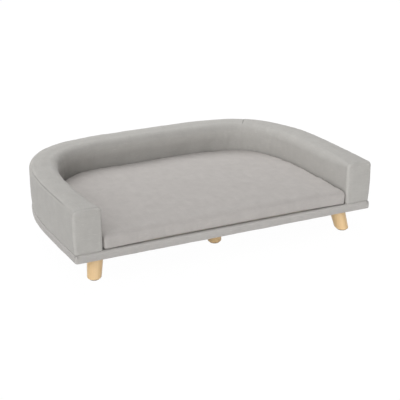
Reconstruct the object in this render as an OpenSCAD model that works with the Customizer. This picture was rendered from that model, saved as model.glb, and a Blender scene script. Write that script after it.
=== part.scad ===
// Dog sofa bed: a padded U-shaped wall and a loose cushion on a wrapped D-shaped base with five turned legs.
// The origin is on the floor, under the middle of the sofa. +X is to the right, +Y to the back, +Z up.

/* [Base] */
// Width of the base from side to side
base_w = 1000; // [860:10:1200]
// Depth of the base from front to back
base_d = 656; // [560:2:800]
// Thickness of the plywood board
board_t = 18; // [12:1:24]
// Thickness of the cover fabric
fabric_t = 1.6; // [1:0.1:2.4]
// Thickness of the foam sheet on the board
deck_foam_t = 4.8; // [3:0.1:6]
// Thickness of the foam strip round the board
edge_foam_t = 3; // [2:0.1:5]
// Straight stretch of each side, from the front edge to the start of the bend
side_straight = 115; // [90:1:220]
// Straight stretch across the middle of the back
back_straight = 102; // [60:1:200]
// Squareness of the two back bends, where 2 is an ellipse
squareness = 3.4; // [2.6:0.1:4]

/* [Legs] */
// Height from the floor to the underside of the base
leg_h = 74; // [50:1:120]
// Diameter of a leg at its foot
foot_dia = 42; // [30:1:44]
// Diameter of a leg at the base
leg_top_dia = 50; // [44:1:52]
// How far a foot stands out sideways from the top of its leg
splay_side = 13; // [0:1:20]
// How far a foot stands out to the front or back from the top of its leg
splay_end = 19.5; // [0:0.5:22]
// Distance of the front legs' tops from the sides of the base
leg_side_in = 84.5; // [80:0.5:100]
// Distance of the front legs' tops from the front of the base
leg_front_in = 64; // [64:1:90]
// Distance of the centre leg from the front of the base
centre_leg_in = 134; // [80:1:180]
// Distance of the centre leg to the right of the middle
centre_leg_side = 12; // [-30:1:30]
// Distance of the rear legs' tops from the edge of the base
rear_leg_in = 70; // [66:1:80]

/* [Wall] */
// Distance of the wall's outer side inwards from the edge of the base, below 0 where it stands out over it
wall_in = -3; // [-4:0.5:3]
// Height of the wall above the deck
wall_h = 132; // [110:1:180]
// Thickness of the wall at its top
wall_t = 90; // [86:1:100]
// Thickness of the cover over the wall's padding
cover_t = 2; // [1.2:0.1:2.6]
// Radius of the outer top edge
outer_edge_r = 16; // [13:1:20]
// Radius of the inner top edge
inner_edge_r = 28; // [20:1:32]
// Radius of the rounding of the two front ends
end_edge_r = 10; // [8:1:12]
// Width of the wooden rails
rail_w = 48; // [40:1:50]
// Thickness of the top rail
top_rail_t = 15; // [12:1:20]
// Thickness of the foam on top of the frame
top_foam_t = 24; // [16:1:30]

/* [Cushion] */
// Height of the cushion at its edge
cushion_h = 47; // [40:1:70]
// Extra height in the middle of the cushion
crown_h = 11; // [0:1:20]
// How far the middle of the cushion's front edge is drawn in
draw_in = 3; // [0:0.5:8]
// Gap between the cushion and the wall
cushion_gap = 2; // [1:0.1:5]
// Length of the zip's opening
zip_l = 560; // [300:10:650]

/* [Hidden] */
// Number of steps in each back bend
bend_steps = 13;
// Number of steps in each front corner, and along the cushion's front edge
corner_steps = 3;
front_steps = 8;
// Gap that keeps nested layers apart, and the gap under what only rests
layer_gap = 0.2;
seat_gap = 0.3;
// Overrun of every cut
cut = 1;

// Levels, and the front and back edges of the base
wall_over = max(-wall_in, 0);
front_y = -(base_d + wall_over) / 2;
back_y = front_y + base_d;
board_z = leg_h + fabric_t;
board_top = board_z + board_t;
deck_z = board_top + deck_foam_t + fabric_t;
wall_low = deck_z + seat_gap;
wall_top = deck_z + wall_h;

// Shape of the base's edge
base_edge_r = 6;
base_low_r = 3;
base_corner_r = 8;
least_r = 1;
band_end_gap = 0.5;
edge_foam_margin = 2;

// Places across the wall, measured inwards from the edge of the base
wall_tuck = 4.5;
rail_out = 18;
panel_t = 3;
rail_in = rail_out + rail_w;
wall_inner = wall_in + wall_t;
wall_front = 3;
sweep_y = front_y + wall_front + end_edge_r;
rail_y = front_y + rail_out;
bottom_rail_top = board_top + board_t;
top_rail_top = wall_top - cover_t - top_foam_t;
top_rail_z = top_rail_top - top_rail_t;
rail_mid = (rail_out + rail_in) / 2;
band_top_w = rail_out - band_end_gap;
// Bevel at the two lower edges of the wall's foam
foam_bevel = 1;
// Rise of the wall's top between its two edges
wall_crown = 1.5;
// Step of the bend at which the cover's cross seam lies
seam_step = 8;
// Steps on the way from a front end at which the foam's lengths meet
foam_arm_step = 4;
foam_corner_step = 11;

// Places of the posts, the bolts and the rear leg, as shares of a back bend
post_shares = [0, 0.24, 0.5, 0.74];
bolt_shares = [0.1, 0.37, 0.62, 0.88];
rear_leg_share = 0.62;
post_l = 40;
post_inset = 3;
end_post_t = 18;
screw_dia = 4;
screw_head_dia = 8;
screw_l = 40;
screw_play = 0.1;
wall_bolt_dia = 6;
wall_bolt_head_dia = 12;
wall_bolt_head_h = 4;
washer_dia = 15;
washer_t = 1.2;
tee_barrel_dia = 8;
tee_barrel_l = 10;
tee_flange_dia = 18;
tee_flange_t = 1.2;

// Fasteners of the legs
leg_bolt_dia = 8;
leg_bolt_depth = 30;
leg_bolt_up = 14;
leg_tee_barrel_dia = 10;
leg_tee_flange_dia = 22;
leg_tee_flange_t = 1.5;
bolt_play = 0.1;
foot_edge_r = 6;
foot_pad_t = 2;

// Dust cover and its staples
dust_t = 0.5;
dust_in = 12;
dust_leg_gap = 2.5;
staple_l = 10;
staple_w = 1.2;
staple_t = 0.6;
staple_in = 18;
staple_side_count = 3;
staple_bend_count = 7;
staple_front_count = 8;
band_under_w = 36;

// Cushion
cushion_side = wall_inner + cushion_gap;
cushion_set_back = 1;
cushion_front = wall_front + cushion_set_back;
cushion_z = deck_z + seat_gap;
cushion_top = deck_z + cushion_h;
cushion_corner_r = 14;
cushion_top_r = 13;
cushion_low_r = 6;
cushion_return = 8;
cushion_foam_h = 34;
// Crown rings, as shares of the way out from the cushion's middle
crown_shares = [0.93, 0.8, 0.62, 0.4, 0.18];

// Zip under the cushion
zip_back_in = 190;
zip_slot_w = 22;
welt_w = 6;
welt_t = 2.4;
tape_w = 13;
tape_t = 0.7;
coil_w = 2.2;
coil_t = 1.8;
coil_gap = 2;
slider_l = 12;
slider_w = 8.4;
slider_plate_t = 0.9;
slider_post_dia = 1.2;
slider_play = 0.3;
bridge_l = 5;
bridge_w = 2.4;
bridge_t = 0.8;
pull_l = 22;
pull_w = 6;
pull_t = 1;
pull_eye_l = 4.4;
pull_bar = 1.2;
stop_l = 3;
zip_end_l = 30;
zip_travel = zip_l - 2 * zip_end_l;
tape_z = cushion_z + fabric_t + welt_t;
coil_mid = tape_z + tape_t / 2;
zip_y = back_y - zip_back_in;
slider_x = -zip_travel / 2;
slider_low = coil_mid - coil_t / 2 - slider_play - slider_plate_t;
foam_groove_h = coil_mid + coil_t / 2 + slider_play + slider_plate_t + seat_gap - cushion_z;

// Plan outline. A back bend is a superellipse, and every line is the base's edge moved inwards by off.
bend_w = base_w / 2 - back_straight / 2;
bend_d = base_d - side_straight;
function mirrored(line) = [for (p = line) [-p[0], p[1]]];
function reversed(list) = [for (i = [len(list) - 1 : -1 : 0]) list[i]];
function bend_edge(a) = [
    back_straight / 2 + bend_w * pow(cos(a), 2 / squareness),
    front_y + side_straight + bend_d * pow(sin(a), 2 / squareness)
];
function bend_normal(a) = let (
    n = [pow(cos(a), 2 - 2 / squareness) / bend_w, pow(sin(a), 2 - 2 / squareness) / bend_d]
) n / norm(n);
function bend_point(a, off) = bend_edge(a) - off * bend_normal(a);
// From the front of the right side to the middle of the back
function right_line(off, start_y) = concat(
    [[base_w / 2 - off, start_y]],
    [for (i = [0 : bend_steps]) bend_point(90 * i / bend_steps, off)]
);
// From the front of the left side, round the back, to the front of the right side
function wall_line(off, start_y) =
    concat(mirrored(right_line(off, start_y)), reversed(right_line(off, start_y)));
// A front corner of radius r, without its ends on the sides
function corner_line(off, front_off, r) = [
    for (i = [1 : corner_steps]) let (a = -90 * i / corner_steps) [
        base_w / 2 - off - r + r * cos(a),
        front_y + front_off + r + r * sin(a)
    ]
];
// The front edge between its corners, drawn in towards its middle by bow
function front_line(off, front_off, r, bow) = [
    for (i = [1 : front_steps - 1]) let (s = i / front_steps, half = base_w / 2 - off - r) [
        half * (1 - 2 * s),
        front_y + front_off + bow * (1 - pow(2 * s - 1, 4))
    ]
];
// The whole closed outline, with sides moved in by off and the front by front_off
function outline(off, front_off, r, bow = 0) = concat(
    wall_line(off, front_y + front_off + r),
    corner_line(off, front_off, r),
    bow == 0 ? [] : front_line(off, front_off, r, bow),
    reversed(mirrored(corner_line(off, front_off, r)))
);
function base_outline(off) = outline(off, off, max(base_corner_r - off, least_r));
function raised(line, z) = [for (p = line) [p[0], p[1], z]];

// A closed skin through rings of equal length, which run from one end to the other, or round to the first.
// An end is one flat convex face, the given triangles of places on its ring, or a fan to the given tip.
module skin(rings, ring_round = false, end_faces = [], tips = []) {
    n = len(rings[0]);
    m = len(rings);
    function at(j, i) = (j % m) * n + i % n;
    flat_end = [[for (i = [0 : n - 1]) i]];
    faces = len(end_faces) > 0 ? end_faces : flat_end;
    sides = [
        for (j = [0 : m - (ring_round ? 1 : 2)]) for (i = [0 : n - 1]) each [
            [at(j, i), at(j, i + 1), at(j + 1, i)],
            [at(j, i + 1), at(j + 1, i + 1), at(j + 1, i)]
        ]
    ];
    fans = [
        for (i = [0 : n - 1]) each [
            [at(0, i + 1), at(0, i), m * n],
            [at(m - 1, i), at(m - 1, i + 1), m * n + 1]
        ]
    ];
    plain_ends = concat(
        [for (f = faces) [for (i = reversed(f)) at(0, i)]],
        [for (f = faces) [for (i = f) at(m - 1, i)]]
    );
    ends = ring_round ? [] : len(tips) > 0 ? fans : plain_ends;
    polyhedron(concat([for (ring = rings) each ring], tips), concat(sides, ends), convexity = 8);
}

// Triangles that close a shell's end. Its section runs along p places outside, and back along the inside.
function shell_end(p) = [
    for (i = [0 : p - 2]) each [[i, i + 1, 2 * p - 1 - i], [i + 1, 2 * p - 2 - i, 2 * p - 1 - i]]
];

// A flat sheet of the given outline
module sheet(line, z, t) {
    translate([0, 0, z]) linear_extrude(t) polygon(line);
}

// A band that stands on edge round the sides and back
module wall_strip(off_out, off_in, start_y, z, top) {
    line = concat(wall_line(off_out, start_y), reversed(wall_line(off_in, start_y)));
    sheet(line, z, top - z);
}

// The same cross-section carried round the sides and back, between two steps of the way
module wall_sweep(section, start_y, from_step, to_step, end_faces) {
    lines = [for (p = section) wall_line(p[0], start_y)];
    skin([
        for (j = [from_step : to_step]) [
            for (i = [0 : len(section) - 1]) [lines[i][j][0], lines[i][j][1], section[i][1]]
        ]
    ], end_faces = end_faces);
}
module shell_sweep(outside, inside, start_y, from_step, to_step) {
    wall_sweep(concat(outside, reversed(inside)), start_y, from_step, to_step, shell_end(len(outside)));
}
wall_steps = 2 * bend_steps + 3;
cross_seam = wall_steps - 1 - seam_step;

// Cross-section of the wall as [distance in from the base's edge, height], k inside its surface
function arc_line(centre, r, from, to, steps) = [
    for (i = [0 : steps]) let (a = from + (to - from) * i / steps) centre + r * [cos(a), sin(a)]
];
outer_centre = [wall_in + outer_edge_r, wall_top - outer_edge_r];
inner_centre = [wall_inner - inner_edge_r, wall_top - inner_edge_r];
edge_steps = 4;
seam_angle = 135;
function outer_side(k, low) = [
    [wall_in + wall_tuck + k, low],
    [wall_in + k, (deck_z + wall_top) / 2]
];
function outer_below_seam(k, low) =
    concat(outer_side(k, low), arc_line(outer_centre, outer_edge_r - k, 180, seam_angle, edge_steps / 2));
function top_middle(k) = [(outer_centre[0] + inner_centre[0]) / 2, wall_top + wall_crown - k];
function over_seam(k, low) = concat(
    arc_line(outer_centre, outer_edge_r - k, seam_angle, 90, edge_steps / 2),
    [top_middle(k)],
    arc_line(inner_centre, inner_edge_r - k, 90, 0, edge_steps),
    [[wall_inner - k, low]]
);
function wall_section(k, low) = concat(
    outer_side(k, low),
    arc_line(outer_centre, outer_edge_r - k, 180, 90, edge_steps),
    [top_middle(k)],
    arc_line(inner_centre, inner_edge_r - k, 90, 0, edge_steps),
    [[wall_inner - k, low]]
);

// A place on the bend, given as a share of it, on the right for side 1 and on the left for side -1
module at_bend(share, side, off) {
    a = 90 * share;
    p = bend_point(a, off);
    n = bend_normal(a);
    turn = atan2(n[1], n[0]);
    translate([side * p[0], p[1], 0]) rotate([0, 0, side > 0 ? turn : 180 - turn]) children();
}

// Every post's place, with +X outwards
module at_posts() {
    for (side = [-1, 1]) for (share = post_shares) at_bend(share, side, rail_mid) children();
    translate([0, back_y - rail_mid, 0]) rotate([0, 0, 90]) children();
}
module at_end_posts() {
    for (side = [-1, 1]) translate([side * (base_w / 2 - rail_mid), rail_y, 0]) children();
}
module at_screws() {
    at_posts() children();
    at_end_posts() translate([0, end_post_t / 2, 0]) children();
}
module at_wall_bolts() {
    for (side = [-1, 1]) for (share = bolt_shares) at_bend(share, side, rail_mid) children();
}

// Legs' tops, with the way each foot stands out
front_leg = [base_w / 2 - leg_side_in, front_y + leg_front_in];
rear_leg = bend_point(90 * rear_leg_share, rear_leg_in);
centre_leg = [centre_leg_side, front_y + centre_leg_in];
module at_leg_tops() {
    for (side = [-1, 1]) {
        translate([side * front_leg[0], front_leg[1], 0]) children();
        translate([side * rear_leg[0], rear_leg[1], 0]) children();
    }
    translate([centre_leg[0], centre_leg[1], 0]) children();
}

module board_bolt_hole(d) {
    translate([0, 0, board_z - cut]) cylinder(d = d + 2 * bolt_play, h = board_t + 2 * cut, $fn = 32);
}

module base_board() {
    color("burlywood") difference() {
        sheet(base_outline(fabric_t + edge_foam_t + layer_gap), board_z, board_t);
        at_leg_tops() {
            board_bolt_hole(leg_tee_barrel_dia);
            translate([0, 0, board_top - leg_tee_flange_t - bolt_play])
                cylinder(d = leg_tee_flange_dia + 2 * bolt_play, h = leg_tee_flange_t + cut, $fn = 48);
        }
        at_wall_bolts() {
            board_bolt_hole(wall_bolt_dia);
            recess_h = wall_bolt_head_h + washer_t + bolt_play;
            translate([0, 0, board_z - cut])
                cylinder(d = washer_dia + 2 * bolt_play, h = recess_h + cut, $fn = 32);
        }
    }
}

module base_edge_foam() {
    color("lightyellow") difference() {
        sheet(base_outline(fabric_t + layer_gap), board_z + edge_foam_margin, board_t - 2 * edge_foam_margin);
        sheet(base_outline(fabric_t + edge_foam_t), board_z, board_t);
    }
}

function deck_outline(gap) =
    outline(rail_in + gap, band_top_w + gap, least_r);

module base_padding() {
    color("lightyellow") difference() {
        sheet(base_outline(base_edge_r + layer_gap), board_top, deck_foam_t);
        wall_strip(rail_out - layer_gap, rail_in + layer_gap, rail_y - layer_gap, board_top - cut, deck_z);
    }
}

module deck_cloth() {
    color("silver") sheet(deck_outline(layer_gap), deck_z - fabric_t, fabric_t);
}

// The band wraps the edge: up from its margin under the board, round the edge, and in under the wall
module base_band() {
    low = [base_low_r, leg_h + base_low_r];
    high = [base_edge_r, deck_z - base_edge_r];
    function side(t) = concat(
        [[band_under_w, leg_h + t]],
        arc_line(low, base_low_r - t, 270, 180, 2),
        arc_line(high, base_edge_r - t, 180, 90, 3),
        [[band_top_w, deck_z - t]]
    );
    color("silver") skin([
        for (p = concat(side(0), reversed(side(fabric_t)))) raised(base_outline(p[0]), p[1])
    ], true);
}

module dust_cover() {
    color("dimgray") difference() {
        sheet(base_outline(dust_in), leg_h - dust_t, dust_t);
        at_leg_tops() translate([0, 0, leg_h - dust_t - cut])
            cylinder(d = leg_top_dia + 2 * dust_leg_gap, h = dust_t + 2 * cut, $fn = 48);
    }
}

module staple() {
    translate([-staple_w / 2, -staple_l / 2, leg_h - dust_t - staple_t]) cube([staple_w, staple_l, staple_t]);
}

module dust_cover_staples() {
    color("lightgray") {
        for (side = [-1, 1]) {
            for (i = [1 : staple_side_count])
                translate([
                    side * (base_w / 2 - staple_in),
                    front_y + side_straight * i / (staple_side_count + 1),
                    0
                ])
                    staple();
            for (i = [0 : staple_bend_count]) at_bend(i / (staple_bend_count + 1), side, staple_in) staple();
        }
        for (i = [1 : staple_front_count])
            translate([base_w * (i / (staple_front_count + 1) - 1 / 2), front_y + staple_in, 0])
                rotate([0, 0, 90]) staple();
    }
}

// A turned leg. Its foot stands out from its top by out, and it is cut level at the floor and at the base.
module leg(top, out, top_z) {
    lean = norm(out);
    tilt = atan2(lean, top_z);
    turn = lean > 0 ? atan2(out[1], out[0]) : 0;
    foot_r = foot_dia / 2;
    top_r = leg_top_dia / 2;
    long = top_z / cos(tilt);
    grow = (top_r - foot_r) / long;
    color("wheat") difference() {
        intersection() {
            translate([top[0] + out[0], top[1] + out[1], 0]) rotate([0, 0, turn]) rotate([0, -tilt, 0])
                translate([0, 0, -foot_r]) cylinder(
                    r1 = foot_r - grow * foot_r,
                    r2 = top_r + grow * top_r,
                    h = long + foot_r + top_r,
                    $fn = 64
                );
            translate([top[0] + out[0], top[1] + out[1], 0]) rotate_extrude($fn = 64)
                polygon(concat(
                    [[0, foot_pad_t]],
                    arc_line([foot_r - foot_edge_r, foot_pad_t + foot_edge_r], foot_edge_r, -90, -20, 6),
                    [[foot_r + top_z, top_z], [0, top_z]]
                ));
        }
        translate([top[0], top[1], leg_h - leg_bolt_depth])
            cylinder(d = leg_bolt_dia + 2 * bolt_play, h = top_z - leg_h + leg_bolt_depth + cut, $fn = 32);
    }
}

module leg_front_left() { leg([-front_leg[0], front_leg[1]], [-splay_side, -splay_end], board_z); }
module leg_front_right() { leg(front_leg, [splay_side, -splay_end], board_z); }
module leg_rear_left() { leg([-rear_leg[0], rear_leg[1]], [-splay_side, splay_end], board_z); }
module leg_rear_right() { leg(rear_leg, [splay_side, splay_end], board_z); }
module leg_centre() { leg(centre_leg, [0, 0], board_z); }

module leg_bolts() {
    color("gray") at_leg_tops() translate([0, 0, leg_h - leg_bolt_depth + bolt_play])
        cylinder(d = leg_bolt_dia, h = leg_bolt_depth + leg_bolt_up, $fn = 32);
}

module leg_tee_nuts() {
    color("silver") at_leg_tops() difference() {
        union() {
            translate([0, 0, board_top - tee_barrel_l - leg_tee_flange_t])
                cylinder(d = leg_tee_barrel_dia, h = tee_barrel_l + leg_tee_flange_t, $fn = 32);
            translate([0, 0, board_top - leg_tee_flange_t])
                cylinder(d = leg_tee_flange_dia, h = leg_tee_flange_t, $fn = 48);
        }
        board_bolt_hole(leg_bolt_dia);
    }
}

module foot_pads() {
    feet = [
        for (side = [-1, 1]) each [
            [side * (front_leg[0] + splay_side), front_leg[1] - splay_end],
            [side * (rear_leg[0] + splay_side), rear_leg[1] + splay_end]
        ],
        centre_leg
    ];
    color("dimgray") for (p = feet)
        translate([p[0], p[1], 0]) cylinder(r = foot_dia / 2 - foot_edge_r, h = foot_pad_t, $fn = 48);
}

module screw_hole(z, l) {
    translate([0, 0, z]) cylinder(d = screw_dia + 2 * screw_play, h = l, $fn = 24);
}

module wall_bottom_rail() {
    color("burlywood") difference() {
        wall_strip(rail_out, rail_in, rail_y, board_top, bottom_rail_top);
        at_wall_bolts() translate([0, 0, board_top - cut])
            cylinder(d = tee_barrel_dia + 2 * bolt_play, h = board_t + 2 * cut, $fn = 32);
        at_screws() {
            screw_hole(board_top - cut, board_t + 2 * cut);
            translate([0, 0, board_top - cut])
                cylinder(d = screw_head_dia + 2 * screw_play, h = screw_dia + cut, $fn = 32);
        }
    }
}

module wall_top_rail() {
    color("burlywood") difference() {
        wall_strip(rail_out, rail_in, rail_y, top_rail_z, top_rail_top);
        at_screws() {
            screw_hole(top_rail_z - cut, top_rail_t + 2 * cut);
            translate([0, 0, top_rail_top - screw_dia])
                cylinder(d = screw_head_dia + 2 * screw_play, h = screw_dia + cut, $fn = 32);
        }
    }
}

module wall_posts() {
    h = top_rail_z - bottom_rail_top;
    w = rail_w - 2 * post_inset;
    color("tan") difference() {
        union() {
            at_posts() translate([-w / 2, -post_l / 2, bottom_rail_top]) cube([w, post_l, h]);
            at_end_posts() translate([-w / 2, 0, bottom_rail_top]) cube([w, end_post_t, h]);
        }
        at_screws() {
            screw_hole(bottom_rail_top - cut, screw_l - board_t + screw_dia + cut);
            screw_hole(top_rail_z - (screw_l - top_rail_t) - screw_play, screw_l);
        }
    }
}

module frame_screw() {
    cylinder(d = screw_head_dia, h = screw_dia - screw_play, $fn = 32);
    cylinder(d = screw_dia, h = screw_l, $fn = 24);
}

module frame_screws() {
    color("gold") at_screws() {
        translate([0, 0, board_top]) frame_screw();
        translate([0, 0, top_rail_top]) mirror([0, 0, 1]) frame_screw();
    }
}

module wall_bolts() {
    head_top = board_z + wall_bolt_head_h;
    shank_l = bottom_rail_top + tee_flange_t - head_top;
    color("gray") at_wall_bolts() {
        translate([0, 0, board_z]) cylinder(d = wall_bolt_head_dia, h = wall_bolt_head_h, $fn = 32);
        translate([0, 0, head_top]) cylinder(d = wall_bolt_dia, h = shank_l, $fn = 32);
    }
}

module wall_washers() {
    color("silver") at_wall_bolts() translate([0, 0, board_z + wall_bolt_head_h]) difference() {
        cylinder(d = washer_dia, h = washer_t, $fn = 32);
        translate([0, 0, -cut]) cylinder(d = wall_bolt_dia + 2 * bolt_play, h = washer_t + 2 * cut, $fn = 32);
    }
}

module wall_tee_nuts() {
    color("silver") at_wall_bolts() difference() {
        union() {
            translate([0, 0, bottom_rail_top - tee_barrel_l])
                cylinder(d = tee_barrel_dia, h = tee_barrel_l, $fn = 32);
            translate([0, 0, bottom_rail_top]) cylinder(d = tee_flange_dia, h = tee_flange_t, $fn = 32);
        }
        translate([0, 0, bottom_rail_top - tee_barrel_l - cut])
            cylinder(d = wall_bolt_dia + 2 * bolt_play, h = tee_barrel_l + tee_flange_t + 2 * cut, $fn = 32);
    }
}

module wall_outer_panel() {
    color("peru") wall_strip(rail_out - panel_t, rail_out - layer_gap, rail_y, wall_low, top_rail_top);
}

module wall_inner_panel() {
    color("peru") wall_strip(rail_in + layer_gap, rail_in + panel_t, rail_y, wall_low, top_rail_top);
}

// Foam over the frame, cut into lengths that are glued end to end
module wall_foam(from_step, to_step) {
    k = cover_t + layer_gap;
    out = rail_out - panel_t - layer_gap;
    in = rail_in + panel_t + layer_gap;
    top = top_rail_top + layer_gap;
    low = wall_low + foam_bevel;
    outside = wall_section(k, wall_low);
    n = len(outside);
    middle = edge_steps + 3;
    section = concat(outside, [[in, low], [in, top], [out, top], [out, low]]);
    end_faces = concat(
        [[0, 1, n + 2], [0, n + 2, n + 3], [middle, n + 1, n + 2], [n - 1, n, n + 1]],
        [for (i = [1 : middle - 1]) [i, i + 1, n + 2]],
        [for (i = [middle : n - 2]) [i, i + 1, n + 1]]
    );
    color("lightyellow") wall_sweep(section, rail_y, from_step, to_step, end_faces);
}
module wall_foam_left_arm() { wall_foam(0, foam_arm_step); }
module wall_foam_left_corner() { wall_foam(foam_arm_step, foam_corner_step); }
module wall_foam_back() { wall_foam(foam_corner_step, wall_steps - foam_corner_step); }
module wall_foam_right_corner() { wall_foam(wall_steps - foam_corner_step, wall_steps - foam_arm_step); }
module wall_foam_right_arm() { wall_foam(wall_steps - foam_arm_step, wall_steps); }

module wall_cover_outer() {
    outside = outer_below_seam(0, wall_low);
    inside = outer_below_seam(cover_t, wall_low);
    color("silver") shell_sweep(outside, inside, sweep_y, 0, wall_steps);
}

module wall_cover(from_step, to_step) {
    color("silver")
        shell_sweep(over_seam(0, wall_low), over_seam(cover_t, wall_low), sweep_y, from_step, to_step);
}
module wall_cover_left() { wall_cover(0, cross_seam); }
module wall_cover_right() { wall_cover(cross_seam, wall_steps); }

// A front end's ring: the wall's section, t inside the surface, at angle a of the end's rounding
function end_ring(a, t) = let (
    k = end_edge_r - (end_edge_r - t) * sin(a),
    y = front_y + wall_front + end_edge_r - (end_edge_r - t) * cos(a)
) [for (p = wall_section(k, wall_low + t)) [p[0] - base_w / 2, y, p[1]]];
end_angles = [0, 30, 60, 90];

module end_cap_shape() {
    skin(concat(
        [for (a = end_angles) end_ring(a, 0)],
        [for (a = reversed(end_angles)) end_ring(a, cover_t)]
    ));
}

module end_foam_shape() {
    t = cover_t + layer_gap;
    back = [for (p = wall_section(t, wall_low + t)) [p[0] - base_w / 2, rail_y - layer_gap, p[1]]];
    skin(concat([for (a = end_angles) end_ring(a, t)], [back]));
}

module end_cap_left() { color("silver") end_cap_shape(); }
module end_cap_right() { color("silver") mirror([1, 0, 0]) end_cap_shape(); }
module end_foam_left() { color("lightyellow") end_foam_shape(); }
module end_foam_right() { color("lightyellow") mirror([1, 0, 0]) end_foam_shape(); }

// The cushion's outline, k inside its widest line
function cushion_outline(k) =
    outline(cushion_side + k, cushion_front + k, max(cushion_corner_r - k, least_r), draw_in);
cushion_mid = [0, (front_y + cushion_front + back_y - cushion_side) / 2];
function crown_ring(k, z, share) = [
    for (p = cushion_outline(k)) [
        cushion_mid[0] + (p[0] - cushion_mid[0]) * share,
        cushion_mid[1] + (p[1] - cushion_mid[1]) * share,
        z + crown_h * (1 - share * share)
    ]
];
function crown_tip(z) = [cushion_mid[0], cushion_mid[1], z + crown_h];
// Angles of the rings round the upper edge, from the side to the top
top_angles = [180, 150, 120, 90];
function top_edge_ring(a, t) = raised(
    cushion_outline(cushion_top_r + (cushion_top_r - t) * cos(a)),
    cushion_top - cushion_top_r + (cushion_top_r - t) * sin(a)
);
// Rings from the lower edge over the crown, t inside the cover's outside
function cushion_rings(t) = concat(
    [for (a = [270 : -45 : 180]) raised(
        cushion_outline(cushion_low_r + (cushion_low_r - t) * cos(a)),
        cushion_z + cushion_low_r + (cushion_low_r - t) * sin(a)
    )],
    [for (a = top_angles) top_edge_ring(a, t)],
    [for (share = crown_shares) crown_ring(cushion_top_r, cushion_top - t, share)]
);

module cushion_cover() {
    hem = cushion_low_r + cushion_return;
    color("silver") skin(concat(
        reversed(cushion_rings(0)),
        [raised(cushion_outline(hem), cushion_z), raised(cushion_outline(hem), cushion_z + fabric_t)],
        cushion_rings(fabric_t)
    ), tips = [crown_tip(cushion_top), crown_tip(cushion_top - fabric_t)]);
}

module cushion_bottom_panel() {
    color("silver") difference() {
        sheet(cushion_outline(cushion_low_r + cushion_return + layer_gap), cushion_z, fabric_t);
        translate([-zip_l / 2, zip_y - zip_slot_w / 2, cushion_z - cut])
            cube([zip_l, zip_slot_w, fabric_t + 2 * cut]);
    }
}

foam_low = cushion_z + fabric_t + layer_gap;
foam_top = foam_low + cushion_foam_h;

module cushion_foam() {
    w = zip_slot_w + 2 * welt_w + 2 * least_r;
    color("lightyellow") difference() {
        sheet(cushion_outline(cushion_low_r), foam_low, cushion_foam_h);
        translate([-zip_l / 2 - welt_w, zip_y - w / 2, cushion_z])
            cube([zip_l + 2 * welt_w, w, foam_groove_h]);
    }
}

module cushion_wadding() {
    t = fabric_t + layer_gap;
    color("white") skin(concat(
        [raised(cushion_outline(t + least_r), foam_top + layer_gap)],
        [for (i = [1 : len(top_angles) - 1]) top_edge_ring(top_angles[i], t)],
        [for (share = crown_shares) crown_ring(cushion_top_r, cushion_top - t, share)]
    ), tips = [[cushion_mid[0], cushion_mid[1], foam_top + layer_gap], crown_tip(cushion_top - t)]);
}

module zip_welts() {
    color("silver") for (side = [-1, 1])
        translate([-zip_l / 2, zip_y + side * (zip_slot_w + welt_w) / 2 - welt_w / 2, cushion_z + fabric_t])
            cube([zip_l, welt_w, welt_t]);
}

module zip_tape() {
    color("gray") for (side = [-1, 1])
        translate([-zip_l / 2, zip_y + side * (coil_gap + 2 * coil_w + tape_w) / 2 - tape_w / 2, tape_z])
            cube([zip_l, tape_w, tape_t]);
}

module zip_coil() {
    color("dimgray") for (side = [-1, 1])
        translate([-zip_l / 2, zip_y + side * (coil_gap + coil_w) / 2 - coil_w / 2, coil_mid - coil_t / 2])
            cube([zip_l, coil_w, coil_t]);
}

module zip_stops() {
    stop_w = coil_gap + 2 * coil_w;
    color("lightgray") for (side = [-1, 1])
        translate([side * (zip_l - stop_l) / 2 - stop_l / 2, zip_y - stop_w / 2, coil_mid + coil_t / 2])
            cube([stop_l, stop_w, tape_t]);
}

module zip_slider() {
    gap_h = coil_t + 2 * slider_play;
    bridge_h = pull_t + 2 * layer_gap;
    color("lightgray") translate([slider_x, zip_y, slider_low]) {
        for (z = [0, slider_plate_t + gap_h])
            translate([-slider_l / 2, -slider_w / 2, z]) cube([slider_l, slider_w, slider_plate_t]);
        translate([0, 0, slider_plate_t]) cylinder(d = slider_post_dia, h = gap_h, $fn = 24);
        translate([-bridge_l / 2, -bridge_w / 2, -bridge_h - bridge_t]) cube([bridge_l, bridge_w, bridge_t]);
        for (x = [-bridge_l / 2, bridge_l / 2 - bridge_t])
            translate([x, -bridge_w / 2, -bridge_h]) cube([bridge_t, bridge_w, bridge_h]);
    }
}

module zip_pull() {
    eye_x = -bridge_l / 2 + bridge_t + layer_gap;
    color("lightgray") translate([slider_x, zip_y, slider_low - layer_gap - pull_t]) difference() {
        translate([eye_x + pull_bar - pull_l, -pull_w / 2, 0]) cube([pull_l, pull_w, pull_t]);
        translate([eye_x - pull_eye_l, -bridge_w / 2 - layer_gap, -cut])
            cube([pull_eye_l, bridge_w + 2 * layer_gap, pull_t + 2 * cut]);
    }
}

base_board();
base_edge_foam();
base_padding();
base_band();
deck_cloth();
dust_cover();
dust_cover_staples();
leg_front_left();
leg_front_right();
leg_centre();
leg_rear_left();
leg_rear_right();
leg_bolts();
leg_tee_nuts();
foot_pads();
wall_bottom_rail();
wall_top_rail();
wall_posts();
wall_outer_panel();
wall_inner_panel();
wall_foam_left_arm();
wall_foam_left_corner();
wall_foam_back();
wall_foam_right_corner();
wall_foam_right_arm();
end_foam_left();
end_foam_right();
wall_cover_outer();
wall_cover_left();
wall_cover_right();
end_cap_left();
end_cap_right();
frame_screws();
wall_bolts();
wall_washers();
wall_tee_nuts();
cushion_cover();
cushion_bottom_panel();
cushion_wadding();
cushion_foam();
zip_welts();
zip_tape();
zip_coil();
zip_stops();
zip_slider();
zip_pull();
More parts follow.
